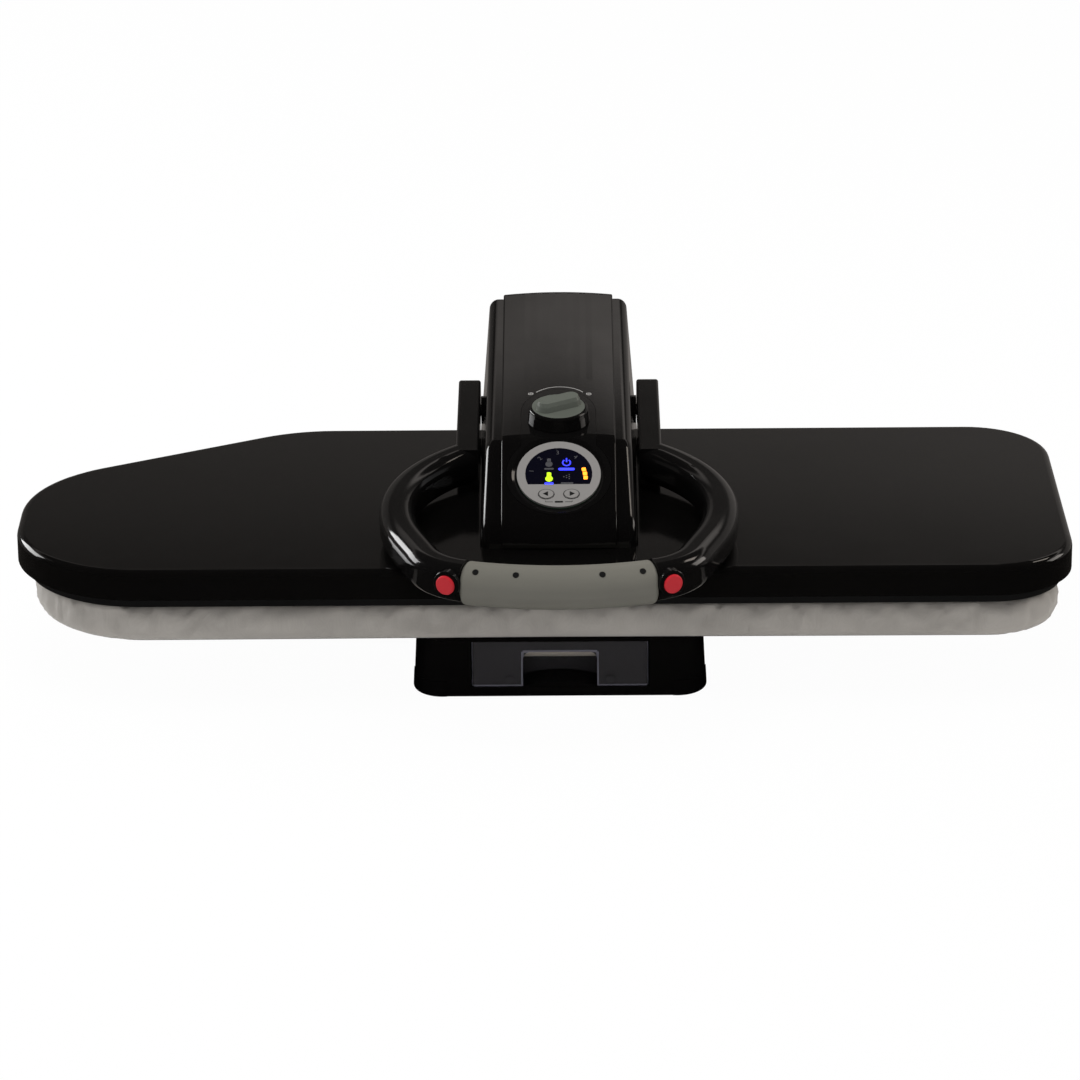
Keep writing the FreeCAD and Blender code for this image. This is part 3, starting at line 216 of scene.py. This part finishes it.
black = (0.0035, 0.0033, 0.0033)
finishes = {
    "gloss_black": moulded("gloss black", black, 0.09, grain=260.0, depth=0.00002),
    "cover_black": moulded("lid black", (0.0027, 0.0025, 0.0024), 0.09, grain=220.0, depth=0.00002),
    "housing_black": moulded("housing black", (0.0026, 0.0024, 0.0024), 0.09, grain=420.0),
    "satin_black": moulded("satin black", (0.008, 0.008, 0.008), 0.45, grain=700.0),
    "grip_grey": moulded("grip grey", (0.155, 0.150, 0.128), 0.48, grain=1500.0, depth=0.0004, drift=0.06),
    "button_red": moulded("button red", (0.52, 0.018, 0.028), 0.42, grain=1400.0, depth=0.00015, drift=0.06),
    "face_grey": moulded("display ring grey", (0.25, 0.24, 0.232), 0.40, grain=1600.0, drift=0.04),
    "window_dark": moulded("display window", (0.003, 0.003, 0.008), 0.10, grain=200.0, depth=0.00001),
    "board_green": moulded("circuit board", (0.02, 0.12, 0.05), 0.45),
    "knob_grey": moulded("knob grey", (0.105, 0.115, 0.098), 0.34, grain=1300.0, depth=0.0001, drift=0.1),
    "pump_white": moulded("pump white", (0.62, 0.61, 0.58), 0.5),
    "foot_rubber": moulded("foot rubber", (0.02, 0.02, 0.02), 0.75, grain=1200.0, depth=0.0002),
    "black_steel": moulded("black powder coat", (0.016, 0.016, 0.017), 0.5, grain=1700.0, depth=0.0002),
    "plate_alu": metal("heat plate aluminium", (0.66, 0.66, 0.67), 0.28, (1, 24, 1)),
    "cast_alu": metal("cast aluminium", (0.55, 0.55, 0.56), 0.5, (1, 1, 1), 300.0),
    "shield_steel": metal("shield steel", (0.55, 0.55, 0.56), 0.35, (1, 24, 1)),
    "zinc_steel": metal("zinc plated steel", (0.56, 0.57, 0.56), 0.3, (1, 1, 1), 140.0),
    "spring_steel": metal("spring steel", (0.36, 0.36, 0.38), 0.34, (1, 1, 1), 200.0),
    "bronze_bush": metal("bronze", (0.55, 0.40, 0.20), 0.35, (1, 1, 1), 160.0),
    "valve_brass": metal("brass", (0.66, 0.53, 0.28), 0.3, (1, 1, 1), 160.0),
}
print("plastics and metals:", len(finishes))

# %% [markdown]
# The water tank is smoky clear plastic. Its cut edges carry a painted highlight, pale and
# bluish, and the roof of the finger recess has painted light, warmer and lighter through the front.

# %% Smoky tank
tank_low, tank_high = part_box("tank_body")
tank_x = (tank_low.x + tank_high.x) / 2
tank_half = (tank_high.x - tank_low.x) / 2
recess_half = 35.5 * MM
recess_top = 47.7 * MM
edge = 1.6 * MM

tank = Finish("smoky tank", Specular_IOR_Level=0.4, IOR=1.45, Transmission_Weight=0.5)
spot = tank.place()
x, y, z = (tank.node("ShaderNodeSeparateXYZ", out=axis, Vector=spot) for axis in "XYZ")
aside = (x - tank_x).math("ABSOLUTE")
front = y < tank_low.y + 3 * MM
# Painted highlight: the outer front edges and the recess edges are painted pale and bluish, and the recess
# roof is painted warmer and lighter.
rim = (aside > tank_half - edge).math("MAXIMUM", z < tank_low.z + edge)
lip = (aside > recess_half - edge / 2) * (aside < recess_half + edge) * (z < recess_top)
lip = lip.math("MAXIMUM", (z > recess_top - edge / 2) * (z < recess_top + edge) * (aside < recess_half))
roof = (aside < recess_half) * (z > 36 * MM) * (z < recess_top)
roof = roof * (y > tank_low.y + 1 * MM) * (y < tank_low.y + 18 * MM)
painted_edge_light = (rim.math("MAXIMUM", lip) * front) * 0.5 + roof
tone = tank.ramp(painted_edge_light + tank.noise(30.0) * 0.06, (0.0, (0.07, 0.066, 0.067)), (0.5, (0.26, 0.26, 0.33)),
                 (1.0, (0.85, 0.78, 0.70)))
polish = tank.ramp(tank.noise(22.0, 5.0), (0.3, 0.08), (0.75, 0.16))
skin = tank.bump(tank.noise(180.0, 2.0), 0.3, 0.00002)
finishes["smoky_clear"] = tank.wear(Base_Color=tone, Roughness=polish, Normal=skin)

# %% [markdown]
# The pad cover is a heat resistant woven cloth. Fine threads cross at right angles, the
# cloth is a little mottled from steam, and it catches a soft sheen at the edges.


# %% Woven cover cloth
def woven(name, colour, thread, dark_band_top):
    """A plain weave, darker in a thin band below the given height."""
    finish = Finish(name, Sheen_Weight=0.25, Sheen_Roughness=0.5, Specular_IOR_Level=0.2)
    pitch = 2 * math.pi / (20 * thread)
    spot = finish.place()
    threads = [finish.node("ShaderNodeTexWave", {"bands_direction": axis}, Vector=spot, Scale=pitch,
                           Distortion=0.6) for axis in "XYZ"]
    weave = (threads[0] + threads[1] + threads[2]) * 0.333
    mottle = finish.noise(11.0, 6.0)
    blotch = finish.noise(38.0, 4.0)
    height = finish.node("ShaderNodeSeparateXYZ", out="Z", Vector=spot)
    # The cloth is darker in a thin band along the bottom of the cover, below the given height.
    tone = finish.ramp((mottle * 0.6 + blotch * 0.25 + weave * 0.15) * (height > dark_band_top),
                       (0.0, shade(colour, 0.3)), (0.3, shade(colour, 0.82)), (0.55, colour),
                       (0.75, shade(colour, 1.15)))
    rough = finish.ramp(mottle, (0.3, 0.78), (0.7, 0.92))
    return finish.wear(Base_Color=tone, Roughness=rough, Normal=finish.bump(weave, 0.5, 0.0002))


dark_band_height = 2.4 * MM
finishes["pad_fabric"] = woven("cover cloth", (0.41, 0.385, 0.355), 0.0009,
                               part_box("pad_cover")[0].z + dark_band_height)
finishes["foam"] = finishes["pad_fabric"]

# %% Dress every frame piece in its finish
slots = {part["node"]: part["material_slot"] for part in frame["record"]["subparts"]}
for name, node in nodes.items():
    node.data.materials.clear()
    node.data.materials.append(finishes[slots[name]])
    for face in node.data.polygons:
        face.material_index = 0
print("dressed nodes:", len(nodes))


# %% [markdown]
# New pieces all finish the same way: the bmesh becomes an object at the origin, rides
# on the body that carries it, and wears the finish it is given, or else the one kept under its slot.


# %% Piece helper
def piece(name, bm, body, slot, finish=None, smooth=True):
    mesh = bpy.data.meshes.new(name)
    bm.to_mesh(mesh)
    bm.free()
    made = bpy.data.objects.new(name, mesh)
    scene.collection.objects.link(made)
    made.data.materials.append(finish or finishes[slot])
    for face in mesh.polygons:
        face.use_smooth = smooth
    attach(made, body)
    return made


# %% [markdown]
# The padded cover. The real one is a bag of cloth drawn over foam with an elastic hem
# below. Its outline is the waist of the frame's plain pad, so the mesh starts from a
# slice through that pad; the slice is extruded to the pad's height and its rims are
# rounded. A cloth simulation then swells the sides and lets a little spare cloth buckle.

# %% Slice the pad's outline
pad_low, pad_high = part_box("pad_cover")
pad_waist = (pad_low.z + pad_high.z) / 2
pad_slack = 3.2 * MM
rim_radius = 6.0 * MM
pad_voxel = 5.5 * MM
nose_tuck = 4.0 * MM
nose_length = 200 * MM
nose_start = pad_low.x + 220 * MM

slice_mesh = bmesh.new()
slice_mesh.from_mesh(nodes["pad_cover"].data)
bmesh.ops.remove_doubles(slice_mesh, verts=slice_mesh.verts, dist=1e-6)
everything = slice_mesh.verts[:] + slice_mesh.edges[:] + slice_mesh.faces[:]
cut = bmesh.ops.bisect_plane(slice_mesh, geom=everything, plane_co=(0, 0, pad_waist), plane_no=(0, 0, 1))
rim_edges = [item for item in cut["geom_cut"] if isinstance(item, bmesh.types.BMEdge)]
start = max((edge.verts[0] for edge in rim_edges), key=lambda v: v.co.x)
outline = [start.co.copy()]
used = set()
here = start
while True:
    step = next((e for e in here.link_edges if e in rim_edges and e not in used), None)
    if step is None:
        break
    used.add(step)
    here = step.other_vert(here)
    if here is start:
        break
    outline.append(here.co.copy())
slice_mesh.free()
print("outline points:", len(outline))

# %% Raise the outline into a pad
pad = bmesh.new()
ring = [pad.verts.new((p.x, p.y, pad_low.z)) for p in outline]
floor_face = pad.faces.new(ring)
raised = bmesh.ops.extrude_face_region(pad, geom=[floor_face])
top_verts = [v for v in raised["geom"] if isinstance(v, bmesh.types.BMVert)]
bmesh.ops.translate(pad, verts=top_verts, vec=(0, 0, pad_high.z - pad_low.z))
rims = [e for e in pad.edges if abs(e.verts[0].co.z - e.verts[1].co.z) < 1e-6]
bmesh.ops.bevel(pad, geom=rims, affect="EDGES", offset=rim_radius, segments=4, profile=0.5,
                material=-1)
bmesh.ops.recalc_face_normals(pad, faces=pad.faces)
for v in pad.verts:
    inward = Vector((v.co.x, v.co.y, 0)).normalized()
    v.co -= inward * pad_slack
    v.co.x += nose_tuck * min(1.0, max(0.0, (nose_start - v.co.x) / nose_length))
pad_cover = piece("padded_cover", pad, "base", "pad_fabric")
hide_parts("pad_cover", "foam_pad")

# %% Remesh the pad evenly
remesh = pad_cover.modifiers.new("even mesh", "REMESH")
remesh.mode = "VOXEL"
remesh.voxel_size = pad_voxel
remesh.use_smooth_shade = True


def bake_modifiers(target):
    """Replace an object's mesh by what its modifiers make of it."""
    graph = bpy.context.evaluated_depsgraph_get()
    baked = bpy.data.meshes.new_from_object(target.evaluated_get(graph))
    target.modifiers.clear()
    old = target.data
    target.data = baked
    bpy.data.meshes.remove(old)


bake_modifiers(pad_cover)
print("pad vertices:", len(pad_cover.data.vertices))

# %% Swell and buckle the cover
before = [v.co.copy() for v in pad_cover.data.vertices]
held = pad_cover.vertex_groups.new(name="held")
for v in pad_cover.data.vertices:
    flat = abs(v.normal.z) > 0.93
    if flat:
        held.add([v.index], 1.0, "REPLACE")
cloth = pad_cover.modifiers.new("cloth", "CLOTH")
cloth.settings.vertex_group_mass = "held"
cloth.settings.use_pressure = True
cloth.settings.uniform_pressure_force = 2.5
cloth.settings.shrink_min = -0.045
cloth.settings.bending_stiffness = 0.3
cloth.settings.effector_weights.gravity = 0.0
cloth.collision_settings.use_collision = False
for step in range(1, 22):
    scene.frame_set(step)
bake_modifiers(pad_cover)
scene.frame_set(1)
hem_band = 3 * MM
free_above = 9 * MM
moved = 0.0
cap = 3.2 * MM


def above_hem(z):
    """How free the cloth is at a height: 0 at the elastic hem, 1 on the open sides."""
    return min(1.0, max(0.0, (z - pad_low.z - hem_band) / free_above))


for v, old in zip(pad_cover.data.vertices, before):
    shift = v.co - old
    if shift.length > cap:
        shift *= cap / shift.length
    v.co = old + shift * above_hem(old.z)
    v.co.z = min(v.co.z, pad_high.z - 0.1 * MM)
    v.co.z = max(v.co.z, pad_low.z)
    moved = max(moved, shift.length)
print("cloth moved at most, in mm:", round(moved / MM, 2))

# %% [markdown]
# The simulated cloth gets the broader drags: soft slanting pulls that run from
# the hem to the top rim, strongest on the sides and gone on the flat top.

# %% Drag the sides into soft pulls
pull_depth = 2.4 * MM
fold_depth = 8 * MM
fold_width = 0.22
for v in pad_cover.data.vertices:
    side = 1.0 - min(1.0, abs(v.normal.z))
    slant = Vector((v.co.x * 11 + v.co.z * 14, v.co.y * 11, v.co.z * 9))
    pull = noise.fractal(slant, 0.7, 2.1, 3)
    crease = abs(noise.noise(Vector((v.co.x * 24 - v.co.z * 30, v.co.y * 24, v.co.z * 12 + 7.0))))
    fold = (fold_width - crease) * (crease < fold_width) * fold_depth
    v.co += v.normal * side * above_hem(v.co.z) * (pull * pull_depth - fold)
    v.co.z = min(v.co.z, pad_high.z - 0.1 * MM)
for face in pad_cover.data.polygons:
    face.use_smooth = True

# %% [markdown]
# The two lift springs hide in the column. Each is wound by spinning one round wire
# section about the spring's axis while it climbs, with a straight hook at both ends.


# %% Wind the lift springs
def add_rod(bm, radius, length, place):
    bmesh.ops.create_cone(bm, cap_ends=True, segments=10, radius1=radius, radius2=radius, depth=length,
                          matrix=place)


def wind_spring(name, node):
    """A coil with a hook at each end, in the frame's solid's place."""
    low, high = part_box(node)
    axis = (low + high) / 2
    radius = (high.x - low.x) / 2
    wire = 1.1 * MM
    hook = 17.0 * MM
    turns = 20
    steps_per_turn = 12
    steps = turns * steps_per_turn
    climb = (high.z - low.z - 2 * hook) / steps
    bm = bmesh.new()
    first = Matrix.Translation((axis.x + radius - wire, axis.y, low.z + hook))
    section = bmesh.ops.create_circle(bm, segments=8, radius=wire,
                                      matrix=first @ Matrix.Rotation(math.pi / 2, 4, "X"))
    bmesh.ops.spin(bm, geom=section["verts"] + bm.edges[:], cent=axis, axis=(0, 0, 1), dvec=(0, 0, climb),
                   angle=turns * 2 * math.pi, steps=steps, use_merge=False)
    bmesh.ops.holes_fill(bm, edges=[e for e in bm.edges if e.is_boundary])
    for end, sign in ((low.z, 1), (high.z, -1)):
        upright = Matrix.Translation((axis.x, axis.y, end + sign * hook / 2))
        add_rod(bm, wire, hook, upright)
        arm = Matrix.Translation((axis.x + radius / 2 - wire / 2, axis.y, end + sign * hook))
        add_rod(bm, wire, radius - wire, arm @ Matrix.Rotation(math.pi / 2, 4, "Y"))
    bmesh.ops.recalc_face_normals(bm, faces=bm.faces)
    spring = piece(name, bm, "base", "spring_steel")
    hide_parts(node)
    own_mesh(spring)
    print(name, "turns:", turns)


wind_spring("coil_spring_left", "lift_spring_left")
wind_spring("coil_spring_right", "lift_spring_right")

# %% [markdown]
# The marks on the controls are thin prints: flat shapes laid on a sloping face and given
# the thickness of ink. Each is drawn in the face's own two directions, u to the right
# and v up the slope, in millimetres from the middle of the display or the knob.

# %% Faces that carry prints
display_slope = math.radians(30.0)
knob_slope = math.radians(6.8)
face_low, face_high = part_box("display_face")
arm_x = (face_low.x + face_high.x) / 2


def slope_place(middle, slope):
    """Turns u, v and height in millimetres into the frame's metres on a sloping face."""
    return Matrix.Translation(middle) @ Matrix.Rotation(slope, 4, "X") @ Matrix.Scale(MM, 4)


face_middle = Vector((arm_x, (face_low.y + face_high.y) / 2, (face_low.z + face_high.z) / 2))
half_face = 1.25
display_place = slope_place(face_middle, display_slope) @ Matrix.Translation((0, 0, half_face))
ink = 0.12
panel_half = 55.0
panel_crown = 2.6


# %% Print helpers
def lay_bar(bm, u, v, width, height, turn=0.0, rounded=0.45):
    """A bar with rounded corners, made by itself and then added to the other marks."""
    bar = bmesh.new()
    bmesh.ops.create_grid(bar, x_segments=1, y_segments=1, size=0.5,
                          matrix=Matrix.Diagonal((width, height, 1, 1)))
    if rounded:
        bmesh.ops.bevel(bar, geom=bar.verts[:], affect="VERTICES", offset=min(width, height) * rounded,
                        segments=4, profile=0.5, material=-1)
    place = Matrix.Translation((u, v, 0)) @ Matrix.Rotation(math.radians(turn), 4, "Z")
    bmesh.ops.transform(bar, matrix=place, verts=bar.verts)
    add_to(bm, bar)


def add_to(bm, part):
    """Move everything in one bmesh into another."""
    carrier = bpy.data.meshes.new("carrier")
    part.to_mesh(carrier)
    part.free()
    bm.from_mesh(carrier)
    bpy.data.meshes.remove(carrier)


def lay_disc(bm, u, v, radius, segments=24):
    place = Matrix.Translation((u, v, 0))
    bmesh.ops.create_circle(bm, cap_ends=True, segments=segments, radius=radius, matrix=place)


def lay_arc(bm, u, v, inner, outer, start=0.0, end=360.0):
    """A band of a circle from start to end, in degrees from the u direction."""
    a = math.radians(start)
    near = bm.verts.new((u + inner * math.cos(a), v + inner * math.sin(a), 0))
    far = bm.verts.new((u + outer * math.cos(a), v + outer * math.sin(a), 0))
    line = bm.edges.new((near, far))
    steps = max(6, int((end - start) / 7))
    bmesh.ops.spin(bm, geom=[near, far, line], cent=(u, v, 0), axis=(0, 0, 1),
                   angle=math.radians(end - start), steps=steps, use_merge=end - start > 359)


def print_marks(name, bm, place, body, slot, finish, height=ink, crown=0.0):
    """Give the flat marks the thickness of ink and lay them on their face.

    A crown, in millimetres at the panel's edge, lets them follow the panel's curve."""
    for v in bm.verts:
        v.co.z -= crown * (v.co.x / panel_half) ** 2
    raised = bmesh.ops.extrude_face_region(bm, geom=bm.faces[:])
    tops = [v for v in raised["geom"] if isinstance(v, bmesh.types.BMVert)]
    bmesh.ops.translate(bm, verts=tops, vec=(0, 0, height))
    bmesh.ops.transform(bm, matrix=place, verts=bm.verts)
    bmesh.ops.recalc_face_normals(bm, faces=bm.faces)
    return piece(name, bm, body, slot, finish, smooth=False)


def glow(name, colour, strength):
    """A lit mark: light through a coloured film, a little uneven."""
    finish = Finish(name, Emission_Strength=strength, Specular_IOR_Level=0.2)
    film = finish.noise(700.0, 2.0)
    light = finish.ramp(film, (0.2, shade(colour, 0.8)), (0.7, colour))
    return finish.wear(Base_Color=light, Emission_Color=light)


def ink_finish(name, colour, roughness=0.5):
    return moulded(name, colour, roughness, grain=1500.0, drift=0.1)


blue_light = glow("blue light", (0.035, 0.045, 1.0), 1.8)
lime_light = glow("lime light", (0.42, 0.75, 0.015), 1.1)
orange_light = glow("orange light", (1.0, 0.28, 0.02), 2.2)
dim_print = ink_finish("dim print", (0.075, 0.075, 0.082))
black_ink = ink_finish("black ink", (0.01, 0.01, 0.01))
silver_ink = ink_finish("silver ink", (0.36, 0.35, 0.34), 0.35)

# %% Power mark and its bar, in blue
marks = bmesh.new()
lay_arc(marks, 7.5, 13.9, 3.1, 4.3, 125.0, 415.0)
lay_bar(marks, 7.5, 17.0, 1.3, 5.0)
lay_bar(marks, 7.4, 5.9, 15.5, 3.0)
print_marks("power_mark", marks, display_place, "head", "window_dark", blue_light)

# %% Ready mark in lime, with its blue bar
marks = bmesh.new()
lay_disc(marks, -9.3, -5.8, 3.6)
lay_bar(marks, -9.3, -1.0, 4.2, 6.0, rounded=0.3)
print_marks("ready_mark", marks, display_place, "head", "window_dark", lime_light)
marks = bmesh.new()
lay_bar(marks, -9.3, -11.6, 8.5, 2.6)
print_marks("ready_bar", marks, display_place, "head", "window_dark", blue_light)

# %% Orange level bar
marks = bmesh.new()
lay_bar(marks, 25.0, 0.4, 4.0, 4.4, turn=4.0, rounded=0.2)
lay_bar(marks, 25.6, -4.6, 4.0, 4.4, turn=0.0, rounded=0.2)
lay_bar(marks, 24.0, 5.4, 4.0, 4.4, turn=10.0, rounded=0.2)
print_marks("level_bar", marks, display_place, "head", "window_dark", orange_light)

# %% Unlit marks
marks = bmesh.new()
lay_disc(marks, -9.3, 12.2, 3.4)
lay_bar(marks, -9.3, 16.6, 3.6, 5.0, rounded=0.3)
lay_bar(marks, -9.3, 6.4, 9.0, 2.0)
for row in range(3):
    for column in range(row + 1):
        lay_disc(marks, 4.8 + row * 2.6, -3.4 + (column - row / 2) * 2.4, 0.7, 10)
lay_bar(marks, 7.9, -11.4, 12.0, 1.8)
print_marks("unlit_marks", marks, display_place, "head", "window_dark", dim_print)


# %% Numbers along the window's arc
def numeral(name, text, u, v, size, turn, place, body, slot, finish):
    words = bpy.data.curves.new(name, "FONT")
    words.body = text
    words.size = size
    words.align_x = "CENTER"
    words.align_y = "CENTER"
    words.extrude = ink / 2
    holder = bpy.data.objects.new(name, words)
    scene.collection.objects.link(holder)
    bpy.context.view_layer.update()
    mesh = bpy.data.meshes.new_from_object(holder.evaluated_get(bpy.context.evaluated_depsgraph_get()))
    bpy.data.objects.remove(holder)
    bm = bmesh.new()
    bm.from_mesh(mesh)
    bpy.data.meshes.remove(mesh)
    bmesh.ops.remove_doubles(bm, verts=bm.verts, dist=1e-4)
    bmesh.ops.transform(bm, verts=bm.verts,
                        matrix=place @ Matrix.Translation((u, v, ink / 2)) @ Matrix.Rotation(turn, 4, "Z"))
    return piece(name, bm, body, slot, finish, smooth=False)


for count, angle in enumerate((172, 133, 92, 52)):
    a = math.radians(angle)
    numeral(f"scale_number_{count + 1}", str(count + 1), 26.2 * math.cos(a), 26.2 * math.sin(a), 6.5,
            a - math.pi / 2, display_place, "head", "window_dark", dim_print)

# %% Rings, arrows and bracket of the set buttons
button_u, button_v = 12.0, -24.8
button_lift = 0.9
for side, name in ((-1, "left"), (1, "right")):
    marks = bmesh.new()
    lay_arc(marks, 0, 0, 7.3, 7.9)
    squash = Matrix.Translation((side * button_u, button_v, 0)) @ Matrix.Diagonal((1, 0.79, 1, 1))
    bmesh.ops.transform(marks, matrix=squash, verts=marks.verts)
    print_marks(f"set_ring_{name}", marks, display_place, "head", "face_grey", black_ink)
    marks = bmesh.new()
    points_right = Matrix.Rotation(-math.pi / 2, 4, "Z")
    points_out = Matrix.Rotation(0 if side > 0 else math.pi, 4, "Z")
    tip = Matrix.Translation((side * button_u, button_v, 0)) @ points_out
    bmesh.ops.create_circle(marks, cap_ends=True, segments=3, radius=3.3, matrix=tip @ points_right)
    button_place = display_place @ Matrix.Translation((0, 0, button_lift))
    print_marks(f"set_arrow_{name}", marks, button_place, f"set_button_{name}", "face_grey", black_ink)
marks = bmesh.new()
for side in (-1, 1):
    lay_bar(marks, side * 9.3, -34.2, 7.0, 0.5, rounded=0)
    lay_bar(marks, side * 12.6, -33.5, 0.5, 1.6, rounded=0)
lay_bar(marks, 0.0, -34.2, 8.0, 2.0)
print_marks("set_bracket", marks, display_place, "head", "face_grey", black_ink)

# %% Silver scale above the knob
knob_middle = Vector((arm_x, -0.003, 0.2325))
print_seat = 0.04
knob_place = slope_place(knob_middle, knob_slope) @ Matrix.Translation((0, 0, print_seat))
marks = bmesh.new()
lay_arc(marks, 1.2, 40.2, 28.9, 29.9, 39.0, 141.0)
print_marks("scale_arc", marks, knob_place, "head", "housing_black", silver_ink, crown=panel_crown)
marks = bmesh.new()
for u, v in ((-26.9, 56.1), (29.6, 55.3)):
    lay_arc(marks, u, v, 1.7, 2.6)
    lay_disc(marks, u, v, 0.8, 12)
print_marks("scale_ends", marks, knob_place, "head", "housing_black", silver_ink, crown=panel_crown)

# %% [markdown]
# A plain pale floor and white surroundings. The world is white wherever the camera, a
# reflection or clear plastic looks at it, and gives a gentler light to everything else.

# %% World
world = bpy.data.worlds.new("studio")
scene.world = world
world.use_nodes = True
sky = world.node_tree
fill_strength = 0.42
paths = sky.nodes.new("ShaderNodeLightPath")
seen = Wire(sky, paths.outputs["Is Camera Ray"]).math("MAXIMUM", Wire(sky, paths.outputs["Is Glossy Ray"]))
seen = seen.math("MAXIMUM", Wire(sky, paths.outputs["Is Transmission Ray"]))
plug(sky, sky.nodes["Background"].inputs["Strength"], seen * (1.0 - fill_strength) + fill_strength)
sky.nodes["Background"].inputs["Color"].default_value = (1, 1, 1, 1)

# %% Floor
floor_share = 0.975
bm = bmesh.new()
bmesh.ops.create_grid(bm, x_segments=1, y_segments=1, size=9.0)
floor_mesh = bpy.data.meshes.new("floor")
bm.to_mesh(floor_mesh)
bm.free()
floor = bpy.data.objects.new("floor", floor_mesh)
scene.collection.objects.link(floor)
paint = Finish("floor", Roughness=0.9, Specular_IOR_Level=0.0, Base_Color=(0.86, 0.86, 0.86, 1))
paths = paint.tree.nodes.new("ShaderNodeLightPath")
seen = Wire(paint.tree, paths.outputs["Is Camera Ray"])
seen = seen.math("MAXIMUM", Wire(paint.tree, paths.outputs["Is Glossy Ray"]))
seen = seen.math("MAXIMUM", Wire(paint.tree, paths.outputs["Is Transmission Ray"]))
white = paint.tree.nodes.new("ShaderNodeEmission")
white.inputs["Strength"].default_value = 1.0
both = paint.tree.nodes.new("ShaderNodeMixShader")
plug(paint.tree, both.inputs[0], seen * floor_share)
paint.tree.links.new(paint.surface.outputs[0], both.inputs[1])
paint.tree.links.new(white.outputs[0], both.inputs[2])
paint.tree.links.new(both.outputs[0], paint.tree.nodes["Material Output"].inputs["Surface"])
floor.data.materials.append(paint.material)

# %% [markdown]
# Gloss black plastic shows whatever stands round it. A studio keeps it black with dark
# cloth on every side, which only reflections see, and draws its shape with a few
# softboxes. Behind the press the cloth catches a little warm light low down, more to the
# right, and the lid's flat top mirrors it.

# %% Dark dome
dome_radius = 3.3
dome_floor = 0.8 * MM
bm = bmesh.new()
bmesh.ops.create_uvsphere(bm, u_segments=64, v_segments=32, radius=dome_radius)
for v in bm.verts:
    v.co.z = max(v.co.z, dome_floor)
dome_mesh = bpy.data.meshes.new("dark_dome")
bm.to_mesh(dome_mesh)
bm.free()
dome = bpy.data.objects.new("dark_dome", dome_mesh)
scene.collection.objects.link(dome)
velvet = Finish("black velvet", Roughness=1.0, Specular_IOR_Level=0.0, Base_Color=(0.02, 0.018, 0.016, 1),
                Emission_Strength=1.0)
spot = velvet.place()
height = velvet.node("ShaderNodeSeparateXYZ", out="Z", Vector=spot) * (1 / dome_radius)
sideways = velvet.node("ShaderNodeSeparateXYZ", out="X", Vector=spot) * 0.3 + 0.5
lid_mirrors = ((0.36, 0.25), (0.39, 0.19), (0.425, 0.07), (0.5, 0.05))
panel_mirrors = ((0.545, 0.75), (0.575, 1.0), (0.587, 0.55), (0.598, 0.12), (0.615, 0.01))
band = velvet.ramp(height, *lid_mirrors, *panel_mirrors)
to_right = velvet.ramp(sideways, (0.2, 0.4), (0.8, 1.0))
behind = velvet.node("ShaderNodeSeparateXYZ", out="Y", Vector=spot) > 0.4
overhead = velvet.ramp(height, (0.9, 0.0), (0.97, 0.004))
light = velvet.ramp(band * to_right * behind + overhead, (0.0, 0.0), (1.0, (1.0, 0.93, 0.88)))
dome.data.materials.append(velvet.wear(Emission_Color=light))
dome.visible_camera = False
dome.visible_diffuse = False
dome.visible_shadow = False
dome.visible_transmission = False


# %% Softboxes
def softbox(name, place, target, width, height, power, colour=(1, 1, 1), mirrored=True):
    """A rectangular lamp; one that isn't mirrored gives light but leaves no highlight."""
    lamp = bpy.data.lights.new(name, "AREA")
    lamp.shape = "RECTANGLE"
    lamp.size = width
    lamp.size_y = height
    lamp.energy = power
    lamp.color = colour
    holder = bpy.data.objects.new(name, lamp)
    scene.collection.objects.link(holder)
    turn = (Vector(target) - Vector(place)).to_track_quat("-Z", "Y").to_matrix().to_4x4()
    holder.matrix_world = Matrix.Translation(place) @ turn
    holder.visible_glossy = mirrored


middle = (0.0, 0.0, 0.12)
softbox("softbox_top", (-0.3, -0.9, 2.7), middle, 1.8, 1.4, 46.0, mirrored=False)
softbox("softbox_left", (-2.45, 1.35, 1.05), middle, 1.6, 1.0, 45.0)
softbox("softbox_right", (2.75, 0.5, 1.1), middle, 1.2, 1.0, 16.0, (1.0, 0.94, 0.88))
softbox("softbox_high_right", (1.75, 0.85, 2.25), middle, 0.6, 0.6, 6.0, (1.0, 0.9, 0.8))

# %% Finish
scene.view_settings.view_transform = "Standard"
